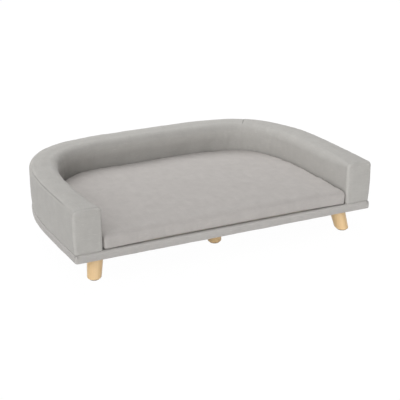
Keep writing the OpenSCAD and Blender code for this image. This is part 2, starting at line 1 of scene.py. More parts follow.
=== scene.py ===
# %% [markdown]
# # A dog sofa bed, dressed in cloth, wood and thread
#
# The solids of this sofa are finished: a board on five turned legs, a padded wall round three sides, and a
# loose cushion. This file loads them as a fixed frame and gives them what a solid can't have: cloth that is
# sewn and stuffed, wood with grain, and a studio to stand in. Everything is in metres, with the origin on the
# floor under the middle of the base, +X to the right, +Y to the back and +Z up.

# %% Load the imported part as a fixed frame
import math

import bmesh
import bpy
import numpy as np
from mathutils.geometry import delaunay_2d_cdt
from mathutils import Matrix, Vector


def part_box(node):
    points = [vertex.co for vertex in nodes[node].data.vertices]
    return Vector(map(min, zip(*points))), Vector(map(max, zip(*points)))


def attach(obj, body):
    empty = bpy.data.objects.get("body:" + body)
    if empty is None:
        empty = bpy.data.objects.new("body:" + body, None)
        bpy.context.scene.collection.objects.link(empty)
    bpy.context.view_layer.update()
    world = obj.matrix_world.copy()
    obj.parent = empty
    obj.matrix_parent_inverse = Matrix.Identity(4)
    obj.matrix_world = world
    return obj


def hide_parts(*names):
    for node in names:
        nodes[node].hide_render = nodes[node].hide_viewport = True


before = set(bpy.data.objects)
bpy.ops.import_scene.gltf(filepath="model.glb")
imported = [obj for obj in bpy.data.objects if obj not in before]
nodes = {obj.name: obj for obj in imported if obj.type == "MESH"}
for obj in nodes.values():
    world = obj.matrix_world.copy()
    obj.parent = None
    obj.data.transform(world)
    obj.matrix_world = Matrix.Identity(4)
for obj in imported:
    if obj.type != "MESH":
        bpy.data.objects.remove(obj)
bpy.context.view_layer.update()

# %% [markdown]
# ## Measures
#
# Cloth has to lie exactly on what it covers, so the sizes come from the solids' own boxes. The few that a box
# can't tell, such as how square the back bends are, are the values that the solids were drawn with. A distance
# "in" is measured from the edge of the base towards its middle.

# %% Read the measures off the frame
band_low, band_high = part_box("base_band")
half_width = band_high.x
front_y, back_y = band_low.y, band_high.y
under_z, deck_z = band_low.z, band_high.z
wall_foot_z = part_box("wall_cover_outer")[0].z
cap_front_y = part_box("end_cap_left")[0].y
cover_start_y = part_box("wall_cover_outer")[0].y

side_straight, half_back_straight = 0.115, 0.051  # the straight parts of the base's edge
squareness = 3.4  # of the back bends; 2 is an ellipse
wall_in, wall_inner = -0.003, 0.087  # the wall's outer and inner side; the outer one stands out over the edge
wall_middle = (wall_in + wall_inner) / 2
wall_out_lean = 0.0045  # how much further in the outer side is at its foot
wall_top, wall_crown = deck_z + 0.132, 0.0015  # the top swells by its crown
outer_edge_r, inner_edge_r, tight_edge_r = 0.016, 0.029, 0.013  # the last is the inner edge at the front ends
outer_foot_z, outer_foot_roll, foot_roll = deck_z - 0.0022, 0.0014, 0.003
thin_cloth, firm_cloth = 0.0012, 0.0014  # thicknesses
legs = ("leg_front_left", "leg_front_right", "leg_centre", "leg_rear_left", "leg_rear_right")
print("base", round(2 * half_width, 3), "x", round(back_y - front_y, 3), "deck at", round(deck_z, 4))

# %% [markdown]
# ## The line that everything follows
#
# Seen from above, the base, the wall and the cushion share one outline: straight sides, two back bends and a
# short straight back. A bend is a superellipse, which is squarer than a circle and has no sudden change of
# curvature, as a jigsawn board has. It could be drawn as a Bezier curve, but a formula gives the outward
# direction at every place too, and a piece that lies inwards of the edge is then only a sum.


# %% The edge of the base, with its outward directions
def bend(turn):
    """The right back bend at angles turn. x is the half straight plus the bend's width times cos to the power of
    2 over the squareness, and y the same with sin. The outward normal is the gradient of the superellipse."""
    c, s = np.cos(turn).clip(0), np.sin(turn).clip(0)
    wide, deep = half_width - half_back_straight, back_y - front_y - side_straight
    place = np.stack([half_back_straight + wide * c ** (2 / squareness),
                      front_y + side_straight + deep * s ** (2 / squareness)], 1)
    out = np.stack([c ** (2 - 2 / squareness) / wide, s ** (2 - 2 / squareness) / deep], 1)
    return place, out / np.linalg.norm(out, axis=1, keepdims=True)


def bend_angles(count):
    """Angles from 0 to a right angle, crowded at both ends, where the superellipse runs fastest."""
    t = np.linspace(0, 1, count)
    return math.pi / 2 * t**1.6 / (t**1.6 + (1 - t) ** 1.6)


def way_along(line):
    """The length of a line up to each of its points."""
    return np.concatenate([[0], np.cumsum(np.linalg.norm(np.diff(line, axis=0), axis=1))])


right_place, right_out = bend(bend_angles(1500))
flip_x = np.array([-1, 1])
edge_place = np.concatenate([
    [[-half_width, front_y]], right_place * flip_x, right_place[::-1], [[half_width, front_y]]])
edge_out = np.concatenate([[[-1, 0]], right_out * flip_x, right_out[::-1], [[1, 0]]])
edge_way = way_along(edge_place)
edge_length = edge_way[-1]


def edge_at(way):
    """Places and outward directions at distances way along the base's edge, from the front of the left side,
    round the back, to the front of the right side."""
    place = np.stack([np.interp(way, edge_way, edge_place[:, k]) for k in (0, 1)], -1)
    out = np.stack([np.interp(way, edge_way, edge_out[:, k]) for k in (0, 1)], -1)
    return place, out / np.linalg.norm(out, axis=-1, keepdims=True)


cross_seam_turn = math.radians(90 * 8 / 13)  # where the top cover is joined, on the right bend
cross_seam_place = bend(np.array([cross_seam_turn]))[0][0]
cross_seam_way = edge_way[np.linalg.norm(edge_place - cross_seam_place, axis=1).argmin()]
print("edge length", round(edge_length, 3), "m, cross seam at", round(cross_seam_way, 3), "m")

# %% [markdown]
# ## Soft hills and rolled edges
#
# Cloth over foam is never flat. It has soft hills and dips, and where two pieces are sewn together, both edges
# roll in. A displacement texture could make the hills, but a sum of waves is a plain formula that every piece can
# use at its own places, and it can be drawn out to make folds. Near a sewn edge the points lie close together,
# because the roll is less than 2 mm wide.


# %% Helpers for soft surfaces
def lumps(places, size, seed, stretch=(1, 1, 1)):
    """Soft hills and dips from about -1 to 1: a sum of plane waves of random heading and phase, with wavelengths
    around size, drawn out along each axis by stretch."""
    dice = np.random.default_rng(seed)
    heading = dice.normal(size=(18, 3))
    heading /= np.linalg.norm(heading, axis=1, keepdims=True)
    wave = heading * 2 * math.pi / (size * dice.uniform(0.7, 1.6, (18, 1))) / np.array(stretch)
    return np.sin(places @ wave.T + dice.uniform(0, 2 * math.pi, 18)).sum(-1) / 18**0.5


def roll(away, r):
    """How far a surface has rolled in, at a distance away from its sewn edge: a quarter circle of radius r."""
    left = r - np.clip(away, 0, r)
    return r - np.sqrt(np.maximum(r * r - left * left, 0))


def steps(start, end, spacing, fine_start=False, fine_end=False):
    """Even places from start to end, with crowded ones near a sewn edge."""
    fine = np.array([0.0001, 0.00035, 0.0007, 0.0011, 0.0016, 0.0023])
    even_places = np.linspace(start, end, max(2, round((end - start) / spacing) + 1))
    more = [even_places] + ([start + fine] if fine_start else []) + ([end - fine] if fine_end else [])
    return np.unique(np.concatenate(more).round(7))


print("a sewn edge of 1 mm has points at", steps(0, 0.01, 0.005, True)[:5], "m")

# %% [markdown]
# ## From a grid of points to a mesh
#
# Every cloth piece here is a surface of two parameters: how far along, and how far across. numpy works out all
# its points at once, and the mesh takes them as they are. Besides its points, a piece carries its weave, which is
# the place of each point on the flat cloth, and two marks that the cloth's material reads: a painted highlight
# that lightens its edges, and a painted shade that darkens its seams, its folds and where it stands on the base.


# %% Meshes from points
def values_of(items, key, width=3):
    """A property of all vertices, faces or corners as a numpy array."""
    got = np.zeros(len(items) * width, np.float32)
    items.foreach_get(key, got)
    return got.reshape(-1, width).astype(float)


def set_mark(mesh, name, value):
    """Puts a value on each point under a name that a material can read."""
    layer = mesh.attributes.get(name) or mesh.attributes.new(name, "FLOAT", "POINT")
    layer.data.foreach_set("value", (value + np.zeros(len(mesh.vertices))).astype(np.float32))


def piece_of(name, points, faces, weave, marks):
    """A smooth mesh from points and faces. weave holds each point's place on the flat cloth in metres, and becomes
    the UV map. marks are named values on the points."""
    mesh = bpy.data.meshes.new(name)
    mesh.from_pydata(points.tolist(), [], faces)
    corner = values_of(mesh.loops, "vertex_index", 1).astype(int).ravel()
    mesh.uv_layers.new(name="weave").data.foreach_set("uv", weave[corner].astype(np.float32).ravel())
    # The two marks hold painted light: a highlight that lightens the cloth's colour and a shade that darkens it.
    for key in ("painted_highlight", "painted_shade"):
        set_mark(mesh, key, marks.get(key, 0.0))
    mesh.polygons.foreach_set("use_smooth", np.ones(len(faces), bool))
    piece = bpy.data.objects.new(name, mesh)
    bpy.context.scene.collection.objects.link(piece)
    return piece


def grid_faces(rows, columns, closed=False):
    """Each four neighbours in a grid of points make a face. A closed grid also joins its last row to its first."""
    row_steps, column_steps = np.arange(rows if closed else rows - 1), np.arange(columns - 1)
    i, j = (a.ravel() for a in np.meshgrid(row_steps, column_steps, indexing="ij"))
    return np.stack([(a % rows) * columns + b for a, b in ((i, j), (i + 1, j), (i + 1, j + 1), (i, j + 1))], 1)


def facing(faces, points, outward):
    """The faces, turned over if most look away from the directions outward."""
    one, two, last = points[faces[:, 0]], points[faces[:, 1]], points[faces[:, -1]]
    return faces[:, ::-1] if (np.cross(two - one, last - one) * outward[faces[:, 0]]).sum() < 0 else faces


def surface(name, points, weave, marks=None, outward=None, closed=False):
    """A piece from a grid of points, in rows and columns, that faces outward."""
    m, n = points.shape[:2]
    points, faces = points.reshape(-1, 3), grid_faces(m, n, closed)
    if outward is not None:
        faces = facing(faces, points, outward.reshape(-1, 3))
    marks = {key: np.broadcast_to(value, (m, n)).ravel() for key, value in (marks or {}).items()}
    return piece_of(name, points, faces.tolist(), weave.reshape(-1, 2), marks)


print("a grid of 3 by 4 points has", len(grid_faces(3, 4)), "faces, and closed", len(grid_faces(3, 4, True)))

# %% [markdown]
# ## Filling an odd outline
#
# A flat shape with an odd outline has no grid, so it is filled with triangles. One large polygon would be
# simpler, but Blender then cuts it into long thin triangles that shade badly and can't bend. Even points and a
# Delaunay triangulation give triangles of one size.


# %% Fill an outline with triangles
def within(places, loop):
    """Whether places lie within a closed loop: a ray to the right then crosses an odd number of its edges."""
    x, y = places[:, :1], places[:, 1:2]
    (x0, y0), (x1, y1) = loop.T, np.roll(loop, -1, 0).T
    crosses = (y0 > y) != (y1 > y)
    crossed_at = x0 + (y - y0) / np.where(y1 == y0, 1, y1 - y0) * (x1 - x0)
    return (crosses & (x < crossed_at)).sum(1) % 2 == 1


def fill(outline, holes=(), spacing=0.012):
    """Even triangles inside an outline and outside its holes, as places and faces in a plane. They are found on a
    copy whose straight edges bulge, because points on one straight line would give triangles with no area."""

    def inside(places, edge, gaps):
        kept = within(places, edge)
        for gap in gaps:
            kept &= ~within(places, gap)
        return kept

    middle, half = (outline.max(0) + outline.min(0)) / 2, np.ptp(outline, axis=0) / 2

    def bulge(places):
        return middle + (places - middle) * (1 + 0.05 * (1 - ((places - middle) / half)[:, ::-1] ** 2))

    axes = (np.arange(outline[:, k].min() + spacing / 2, outline[:, k].max(), spacing) for k in (0, 1))
    inner = np.stack(np.meshgrid(*axes), -1).reshape(-1, 2)
    aside = 0.3 * spacing * np.array([(1, 0), (-1, 0), (0, 1), (0, -1)])
    clear = np.all([inside(inner + step, outline, holes) for step in aside], axis=0)
    loops = [outline, *holes]
    spots = np.concatenate([*loops, inner[clear]])
    bulged, bulged_loops = bulge(spots), [bulge(loop) for loop in loops]
    edges, count = [], 0
    for loop in loops:
        edges += [(count + k, count + (k + 1) % len(loop)) for k in range(len(loop))]
        count += len(loop)
    found, _, faces, *_ = delaunay_2d_cdt([tuple(p) for p in bulged.tolist()], edges, [], 0, 1e-7)
    assert len(found) == len(spots)
    faces = np.array(faces)
    return spots, faces[inside(bulged[faces].mean(1), bulged_loops[0], bulged_loops[1:])]


print("a square is filled with", len(fill(np.array([(0, 0), (0.05, 0), (0.05, 0.05), (0, 0.05)]))[1]), "triangles")

# %% [markdown]
# ## Welding and thickness
#
# Where a ring of points meets a filled face, points lie on each other and are joined. The thickness of the cloth
# is left to the Solidify modifier, which also closes the rim, so that the mesh itself stays one plain layer.


# %% Weld and thicken
def weld(piece):
    """Joins points that lie on each other."""
    bm = bmesh.new()
    bm.from_mesh(piece.data)
    bmesh.ops.remove_doubles(bm, verts=bm.verts, dist=1e-6)
    bm.to_mesh(piece.data)
    bm.free()
    return piece


def thicken(piece, thickness):
    """Gives a surface its cloth thickness, inwards, with a closed rim."""
    solid = piece.modifiers.new("thickness", "SOLIDIFY")
    solid.thickness, solid.offset, solid.use_rim = thickness, -1, True
    return piece


def dress(piece, material, body, slot, *stands_for):
    """Gives a piece its material and its body, and hides the solids that it stands for. slot is not used."""
    piece.data.materials.append(material)
    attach(piece, body)
    if stands_for:
        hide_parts(*stands_for)


print("helpers for cloth pieces ready")

# %% [markdown]
# ## Writing a material as sums
#
# A material is a graph of nodes. Drawn by hand it is easy to read, but written in code it is long. So one small
# class wraps a socket, and `a * 2 + b` then adds the Math nodes, also with the number first.


# %% A signal
class Signal:
    """A value that varies over a surface. Sums and products of signals add Math nodes to the material."""

    def __init__(self, look, socket):
        self.look, self.socket = look, socket

    def maths(self, operation, other=None, turned=False):
        """A Math node on this signal and another value, which comes first where turned."""
        parts = [self] if other is None else [other, self] if turned else [self, other]
        return self.look.add("ShaderNodeMath", dict(enumerate(parts)), operation=operation)

    def __add__(self, other):
        return self.maths("ADD", other)

    def __sub__(self, other):
        return self.maths("SUBTRACT", other)

    def __mul__(self, other):
        return self.maths("MULTIPLY", other)

    def __pow__(self, other):
        return self.maths("POWER", other)

    def __gt__(self, other):
        return self.maths("GREATER_THAN", other)

    def __radd__(self, other):
        return self.maths("ADD", other, True)

    def __rsub__(self, other):
        return self.maths("SUBTRACT", other, True)

    def __rmul__(self, other):
        return self.maths("MULTIPLY", other, True)

    def __abs__(self):
        return self.maths("ABSOLUTE")

    def sine(self):
        return self.maths("SINE")

    def most(self, other):
        return self.maths("MAXIMUM", other)


print("signals can be added, multiplied and compared")

# %% [markdown]
# ## A look under construction
#
# Colours and places can't go through Math nodes, which would turn them grey, so they have their own nodes. Every
# node comes from one method that takes its type, its settings and what goes into its sockets. What is the same
# all over a surface, such as its sheen, is set on the shader itself.


# %% A look
class Look:
    """A material, or a world's sky, under construction."""

    def __init__(self, name, block=None):
        self.material = block or bpy.data.materials.new(name)
        self.material.use_nodes = True
        self.tree = self.material.node_tree
        self.shader = self.tree.nodes.get("Principled BSDF") or self.tree.nodes["Background"]

    def add(self, kind, inputs=None, output=0, **settings):
        """A node of a kind, with its settings first, then the values or signals of its inputs. It returns one of
        the node's outputs."""
        node = self.tree.nodes.new(kind)
        for key, value in settings.items():
            setattr(node, key, value)
        for key, value in (inputs or {}).items():
            self.feed(node.inputs[key], value)
        return Signal(self, node.outputs[output])

    def feed(self, socket, value):
        """Links a signal to a socket, or sets its value. A colour gets its fourth number here."""
        if isinstance(value, Signal):
            self.tree.links.new(value.socket, socket)
        elif socket.type == "RGBA" and hasattr(value, "__len__"):
            socket.default_value = (*value, 1)[:4]
        else:
            socket.default_value = value

    def mix(self, share, first, second):
        """Blends two colours."""
        return self.add("ShaderNodeMix", {0: share, 6: first, 7: second}, 2, data_type="RGBA")

    def shade(self, colour, share):
        """A colour made lighter or darker by a signal around 1."""
        grey = self.add("ShaderNodeCombineColor", {0: share, 1: share, 2: share})
        return self.add("ShaderNodeMix", {0: 1.0, 6: colour, 7: grey}, 2,
                        data_type="RGBA", blend_type="MULTIPLY")

    def noise(self, where, scale, detail=2.0, rough=0.5):
        return self.add("ShaderNodeTexNoise",
                        {"Vector": where, "Scale": scale, "Detail": detail, "Roughness": rough})

    def spread(self, where, scale):
        """Coordinates drawn out by a factor on each axis."""
        return self.add("ShaderNodeVectorMath", {0: where, 1: scale}, operation="MULTIPLY")

    def parts(self, where):
        """The three coordinates as signals."""
        node = self.tree.nodes.new("ShaderNodeSeparateXYZ")
        self.feed(node.inputs[0], where)
        return [Signal(self, node.outputs[k]) for k in range(3)]

    def object_place(self):
        return self.add("ShaderNodeTexCoord", output="Object")

    def weave_place(self):
        return self.add("ShaderNodeUVMap", uv_map="weave")

    def mark(self, name):
        return self.add("ShaderNodeAttribute", output="Fac", attribute_name=name)

    def bump(self, height, distance, strength=1.0):
        return self.add("ShaderNodeBump", {"Height": height, "Distance": distance, "Strength": strength})

    def finish(self, colour, roughness, normal=None, **constants):
        """Feeds the shader. Constants go straight onto its sockets."""
        self.feed(self.shader.inputs["Base Color"], colour)
        self.feed(self.shader.inputs["Roughness"], roughness)
        if normal is not None:
            self.feed(self.shader.inputs["Normal"], normal)
        for key, value in constants.items():
            self.feed(self.shader.inputs[key.replace("_", " ")], value)
        return self.material


print("looks can be built")

# %% [markdown]
# ## The cloth
#
# The sofa is covered in a soft, slightly brushed linen look: thick and thin threads in both directions, and a
# faint cloudy mottling where the nap lies this way or that. Its colour also carries painted light: a painted
# highlight along rounded edges, and painted shade in seams, folds and where the cloth stands on the base. The
# weave is drawn on each piece's own flat pattern, so it turns with the cloth round every bend. An image texture
# would tile; threads made from sine waves and stretched noise don't.


# %% Woven cloth
def woven(name, colour, thread=0.0011, mottle=0.05, slub=0.06, nap=0.03):
    """Plain weave from two rows of ridges that take turns on top, with slubs and cloudy nap, a painted highlight
    along edges and painted shade in seams, folds and where the cloth stands on the base.
    thread is a thread's width in metres. mottle, slub and nap say how much the tone varies by each."""
    look = Look(name)
    flat = look.weave_place()
    u, v, _ = look.parts(flat)
    across, along = (u * (math.pi / thread)).sine(), (v * (math.pi / thread)).sine()
    over = (across * along) > 0.0
    ridge = over * abs(across) + (1 - over) * abs(along)
    # The two numbers of a spread are how many times a metre the noise changes along the weft and the warp.
    thick_weft = look.noise(look.spread(flat, (28, 700, 1)), 1.0, 2.0, 0.6)
    thick_warp = look.noise(look.spread(flat, (700, 28, 1)), 1.0, 2.0, 0.6)
    knots = (look.noise(look.spread(flat, (45, 420, 1)), 1.0, 1.0, 0.5) - 0.62).most(0.0)
    cloud = look.noise(look.spread(flat, (24, 30, 1)), 1.0, 4.0, 0.62)
    streak = look.noise(look.spread(flat, (60, 16, 1)), 1.0, 3.0, 0.55)
    tone = (1 + (thick_weft - 0.5) * slub * 1.6 + (thick_warp - 0.5) * slub + (cloud - 0.5) * mottle * 2
            + (streak - 0.5) * nap * 2 + (ridge - 0.6) * 0.06 + knots * slub * 14)
    # Painted light in the colour: one mark lightens it as a highlight along edges, the other darkens it as shade
    # in seams, folds and where the cloth stands on the base.
    tone = tone + look.mark("painted_highlight") * 0.05 - look.mark("painted_shade") * 0.55
    height = ridge * 0.5 + thick_weft * 0.5 + thick_warp * 0.35 + cloud * 0.4
    return look.finish(look.shade(colour, tone), 0.93 - cloud * 0.1, look.bump(height, 0.00022, 0.7),
                       Sheen_Weight=0.12, Sheen_Roughness=0.5, Specular_IOR_Level=0.25)


wall_cloth = woven("wall_linen", (0.493, 0.480, 0.456), mottle=0.08, slub=0.065)
base_cloth = woven("base_linen", (0.512, 0.494, 0.474))
cushion_cloth = woven("cushion_linen", (0.514, 0.487, 0.467), mottle=0.09, slub=0.045, nap=0.06)
print("cloths woven:", wall_cloth.name, base_cloth.name, cushion_cloth.name)

# %% [markdown]
# ## The cross-section of the wall
#
# The wall is a wooden frame in foam, so its section is a tall block with a tight outer edge and a generous inner
# one. The section is laid out once as distances in from the base's edge and heights, with the direction that
# faces out at each place. The same line serves the long covers and the two front ends.


# %% Section of the wall
def arc(centre_in, centre_z, r, start, end, count):
    """Places on an arc of the section, with angles in degrees."""
    a = np.radians(np.linspace(start, end, count))
    return np.array([centre_in, centre_z]) + r * np.stack([np.cos(a), np.sin(a)], 1)


def wall_section_line(inner_r):
    """The section as (distance in, height), from under the outer foot, over the top, to under the inner foot. The
    outer side leans in towards the foot as a parabola, and the top swells by a squared sine between its edges."""
    half = (wall_foot_z + wall_top) / 2
    z = np.linspace(outer_foot_z + outer_foot_roll, wall_top - outer_edge_r, 80)
    lean = wall_in + wall_out_lean * np.clip((half - z) / (half - wall_foot_z), 0, 1) ** 2
    x = np.linspace(wall_in + outer_edge_r, wall_inner - inner_r, 40)
    swell = wall_crown * np.sin(math.pi * (x - x[0]) / (x[-1] - x[0])) ** 2
    inner_z = np.linspace(wall_top - inner_r, wall_foot_z + foot_roll, 60)
    line = np.concatenate([
        arc(lean[0] + outer_foot_roll, z[0], outer_foot_roll, 270, 180, 12)[:-1],
        np.stack([lean, z], 1)[:-1],
        arc(wall_in + outer_edge_r, wall_top - outer_edge_r, outer_edge_r, 180, 90, 40)[:-1],
        np.stack([x, wall_top + swell], 1)[:-1],
        arc(wall_inner - inner_r, wall_top - inner_r, inner_r, 90, 0, 60)[:-1],
        np.stack([np.full(60, wall_inner), inner_z], 1)[:-1],
        arc(wall_inner - foot_roll, wall_foot_z + foot_roll, foot_roll, 0, -90, 12),
    ])
    ahead = np.gradient(line, axis=0)
    out = np.stack([-ahead[:, 1], ahead[:, 0]], 1)
    return line, out / np.linalg.norm(out, axis=1, keepdims=True)


broad_line, broad_out = wall_section_line(inner_edge_r)
tight_line, tight_out = wall_section_line(tight_edge_r)
section_way = way_along(broad_line)
seam_spot = np.array([wall_in, wall_top]) + outer_edge_r * np.array([1 - math.sqrt(0.5), math.sqrt(0.5) - 1])
seam_way = section_way[np.linalg.norm(broad_line - seam_spot, axis=1).argmin()]
inner_side_way = section_way[-1] - (wall_top - inner_edge_r - wall_foot_z)  # where the inner side starts


def section_at(way, tight):
    """Places and outward directions of the section at distances way along it. tight is 1 at the front ends, where
    the inner edge is drawn over a small corner of the frame, and 0 where it lies over thick foam."""
    spot = np.interp(way, section_way, np.arange(len(section_way)))

    def pick(line):
        return np.stack([np.interp(spot, np.arange(len(line)), line[:, k]) for k in (0, 1)], -1)

    place = pick(broad_line) + tight * (pick(tight_line) - pick(broad_line))
    out = pick(broad_out) + tight * (pick(tight_out) - pick(broad_out))
    return place, out / np.linalg.norm(out, axis=-1, keepdims=True)


top_way = section_way[-1]
print("section", round(top_way, 4), "m round, long seam at", round(seam_way, 4))

# %% [markdown]
# ## The wall's seams
#
# Where two covers meet, both edges roll in, and painted shade on the colour along the roll deepens this into the
# fine dark line of a seam. A seam isn't as deep all the way: the one along the outer top edge is pulled nearly
# flat at the front ends and is shallower round the back, and the one across the back right shows over the top
# but hardly down the inner side.


# %% Where the seams show
# Each seam is its roll's radius and how dark its painted shade is. Below: how far a seam's painted shade reaches
# to each side, and how dark the painted shade is where the covers stand on the base.
end_seam, long_seam, cross_seam = (0.0004, 0.1), (0.0011, 0.45), (0.0018, 1.3)  # the roll's radius and how dark
seam_shade_reach = 0.0022  # how far the dark line of a seam reaches to each side
foot_painted_shade = 0.6  # how dark the covers are where they stand on the base


def long_seam_share(from_end):
    """How much of the long seam shows, from how far it is along the wall from its nearer front end."""
    on_the_arm = np.clip((from_end - 0.05) / 0.06, 0.1, 1)
    round_the_back = np.clip((from_end - 0.34) / 0.08, 0, 1)
    return on_the_arm * (1 - 0.6 * round_the_back)


def cross_seam_share(across):
    """How much of a seam across the wall shows: all over the top, and nearly nothing down the inner side."""
    return 1 - 0.97 * np.clip((across - inner_side_way + 0.048) / 0.012, 0, 1)


print("long seam shows by", long_seam_share(np.array([0, 0.1, 0.3, 0.6])).round(2), "at 0, 0.1, 0.3 and 0.6 m")

# %% [markdown]
# ## The wall's covers
#
# Three pieces of cloth cover the wall: an outer side, and a top that runs on down the inside and is joined
# across at the back right. Near a seam the thread gathers the cloth a little, and round the inside of a bend the
# cloth has too much length and makes soft upright ripples. Each of these is a small shift along the outward
# direction, which keeps the cover on its solid. A cloth simulation could make them too, but not in chosen places.


# %% Sew the long covers
def wall_cover(name, along, across, seams, seed):
    """A cover over the section from across[0] to across[-1]. Each point is the edge's place less the section's
    distance times the outward direction, at the section's height, and then shifted along the surface's normal. A
    seam is its kind, its place, its roll's radius and how dark its painted shade is. One of kind "along" is at a
    place along the wall, and one of kind "across" at a place across it."""
    place, out = edge_at(along)
    from_end = np.minimum(along - start_way, end_way - along)
    tight = (1 - np.clip(from_end / tight_reach, 0, 1)) ** 2
    line, line_out = section_at(across[None], tight[:, None, None])
    u, v = np.meshgrid(along, across, indexing="ij")
    base = np.concatenate([place[:, None] - line[..., :1] * out[:, None], line[..., 1:]], -1)
    normal = np.concatenate([line_out[..., :1] * -out[:, None], line_out[..., 1:]], -1)
    flat = np.stack([u, v, 0 * u], -1)
    # Hills of half a millimetre, then the seams, and last the upright ripples where the edge turns most.
    shift = 0.0005 * lumps(flat, 0.11, seed) + 0.0002 * lumps(flat, 0.028, seed + 1)
    # Painted shade where the cover stands on the base; each seam adds its own painted shade below.
    painted_shade = foot_painted_shade * np.clip((0.0050 - v) / 0.0015, 0, 1)
    for kind, where, depth, dark in seams:
        if kind == "along":
            away, share, ripple = np.abs(u - where), cross_seam_share(v), (1, 0.25, 1)
        else:
            away, share, ripple = np.abs(v - where), long_seam_share(from_end)[:, None], (0.25, 1, 1)
        shift -= roll(away, depth) * share
        shift += 0.25 * depth * np.exp(-away / 0.008) * lumps(flat, 0.03, seed + 2, ripple)
        # Painted shade along the seam's dark line.
        painted_shade = np.maximum(painted_shade, dark * share * np.clip(1 - away / seam_shade_reach, 0, 1))
    heading = np.arctan2(edge_out[:, 1], edge_out[:, 0])
    turning = np.interp(along, edge_way, np.gradient(heading, edge_way + 1e-9))
    inside_bend = np.clip((v - inner_side_way) / 0.03, 0, 1) * np.clip(-turning / 4, 0, 1)[:, None]
    shift += 0.0008 * inside_bend * lumps(flat, 0.03, seed + 3, (1, 8, 1))
    # A painted highlight runs along the upper outer edge, just past the seam.
    painted_highlight = np.exp(-(((v - seam_way - 0.004) / 0.012) ** 2)) * (0.6 + 0.4 * lumps(flat, 0.05, seed + 4))
    weave = np.stack([u, v], -1)
    piece = surface(name, base + shift[..., None] * normal, weave, {"painted_highlight": painted_highlight, "painted_shade": painted_shade}, normal)
    return thicken(piece, thin_cloth)


start_way = cover_start_y - front_y
end_way = edge_length - start_way
tight_reach = 0.16  # the inner edge is tight at the front ends, and broad from here on
covers = [
    ("outer", start_way, end_way, 0.0, seam_way, end_seam, end_seam, 11),
    ("left", start_way, cross_seam_way, seam_way, top_way, end_seam, cross_seam, 21),
    ("right", cross_seam_way, end_way, seam_way, top_way, cross_seam, end_seam, 31),
]
for word, first, last, low, high, first_seam, last_seam, seed in covers:
    piece = wall_cover(
        f"wall_cover_{word}_cloth", steps(first, last, 0.0045, True, True),
        steps(low, high, 0.0026, low > 0, low == 0),
        [("along", first, *first_seam), ("along", last, *last_seam), ("across", seam_way, *long_seam)], seed)
    dress(piece, wall_cloth, "frame", "wall_fabric", f"wall_cover_{word}")
    print(piece.name, len(piece.data.vertices), "points")

# %% [markdown]
# ## The two front ends
#
# Each arm of the wall ends in a flat panel with softly rounded edges, sewn to the long covers just behind the
# rounding. The panel is a stack of rings: the wall's section, drawn in by a quarter circle as it comes forward,
# with the flat face inside the last ring filled with even triangles. A pad of foam behind it makes it swell
# slightly, and the pull of the cloth leaves faint level wrinkles.


# %% The rings of an end panel
cap_r = cover_start_y - cap_front_y  # the radius of the panel's rounding
panel_foot_z = outer_foot_z + 0.0005


def end_rings():
    """Rings at angle a of the rounding lie r (1 - cos a) inside the section and r sin a before its start. Returns
    their places as (distance in, height), how far each lies before the start, and their outward directions."""
    line, out = section_at(steps(0, top_way, 0.0028), 1.0)
    foot = out[:, 1] < 0  # its directions are made level, so that the rounding doesn't lift it off the base
    out[foot, 0], out[foot, 1] = np.sign(line[foot, 0] - wall_middle), 0.0
    angle = np.radians(np.concatenate([[0, 0.6, 2, 4, 6.5, 9.5], np.linspace(13, 90, 12)]))
    before = cap_r * np.sin(angle)[:, None]
    inward = cap_r * (1 - np.cos(angle))[:, None] + roll(before, end_seam[0])
    ring = line[None] - inward[..., None] * out[None]
    near_inner_foot = np.clip(1 - (ring[..., 1] - wall_foot_z) / 0.02, 0, 1) * (ring[..., 0] > wall_middle)
    lowered = 0.002 * near_inner_foot * np.clip(before / 0.004, 0, 1)
    ring[..., 1] = np.maximum(ring[..., 1] - lowered, panel_foot_z)
    return ring, before + 0 * ring[..., 0], np.broadcast_to(out[None], ring.shape)


print("a front end has", end_rings()[0].shape[0], "rings of", end_rings()[0].shape[1], "points")


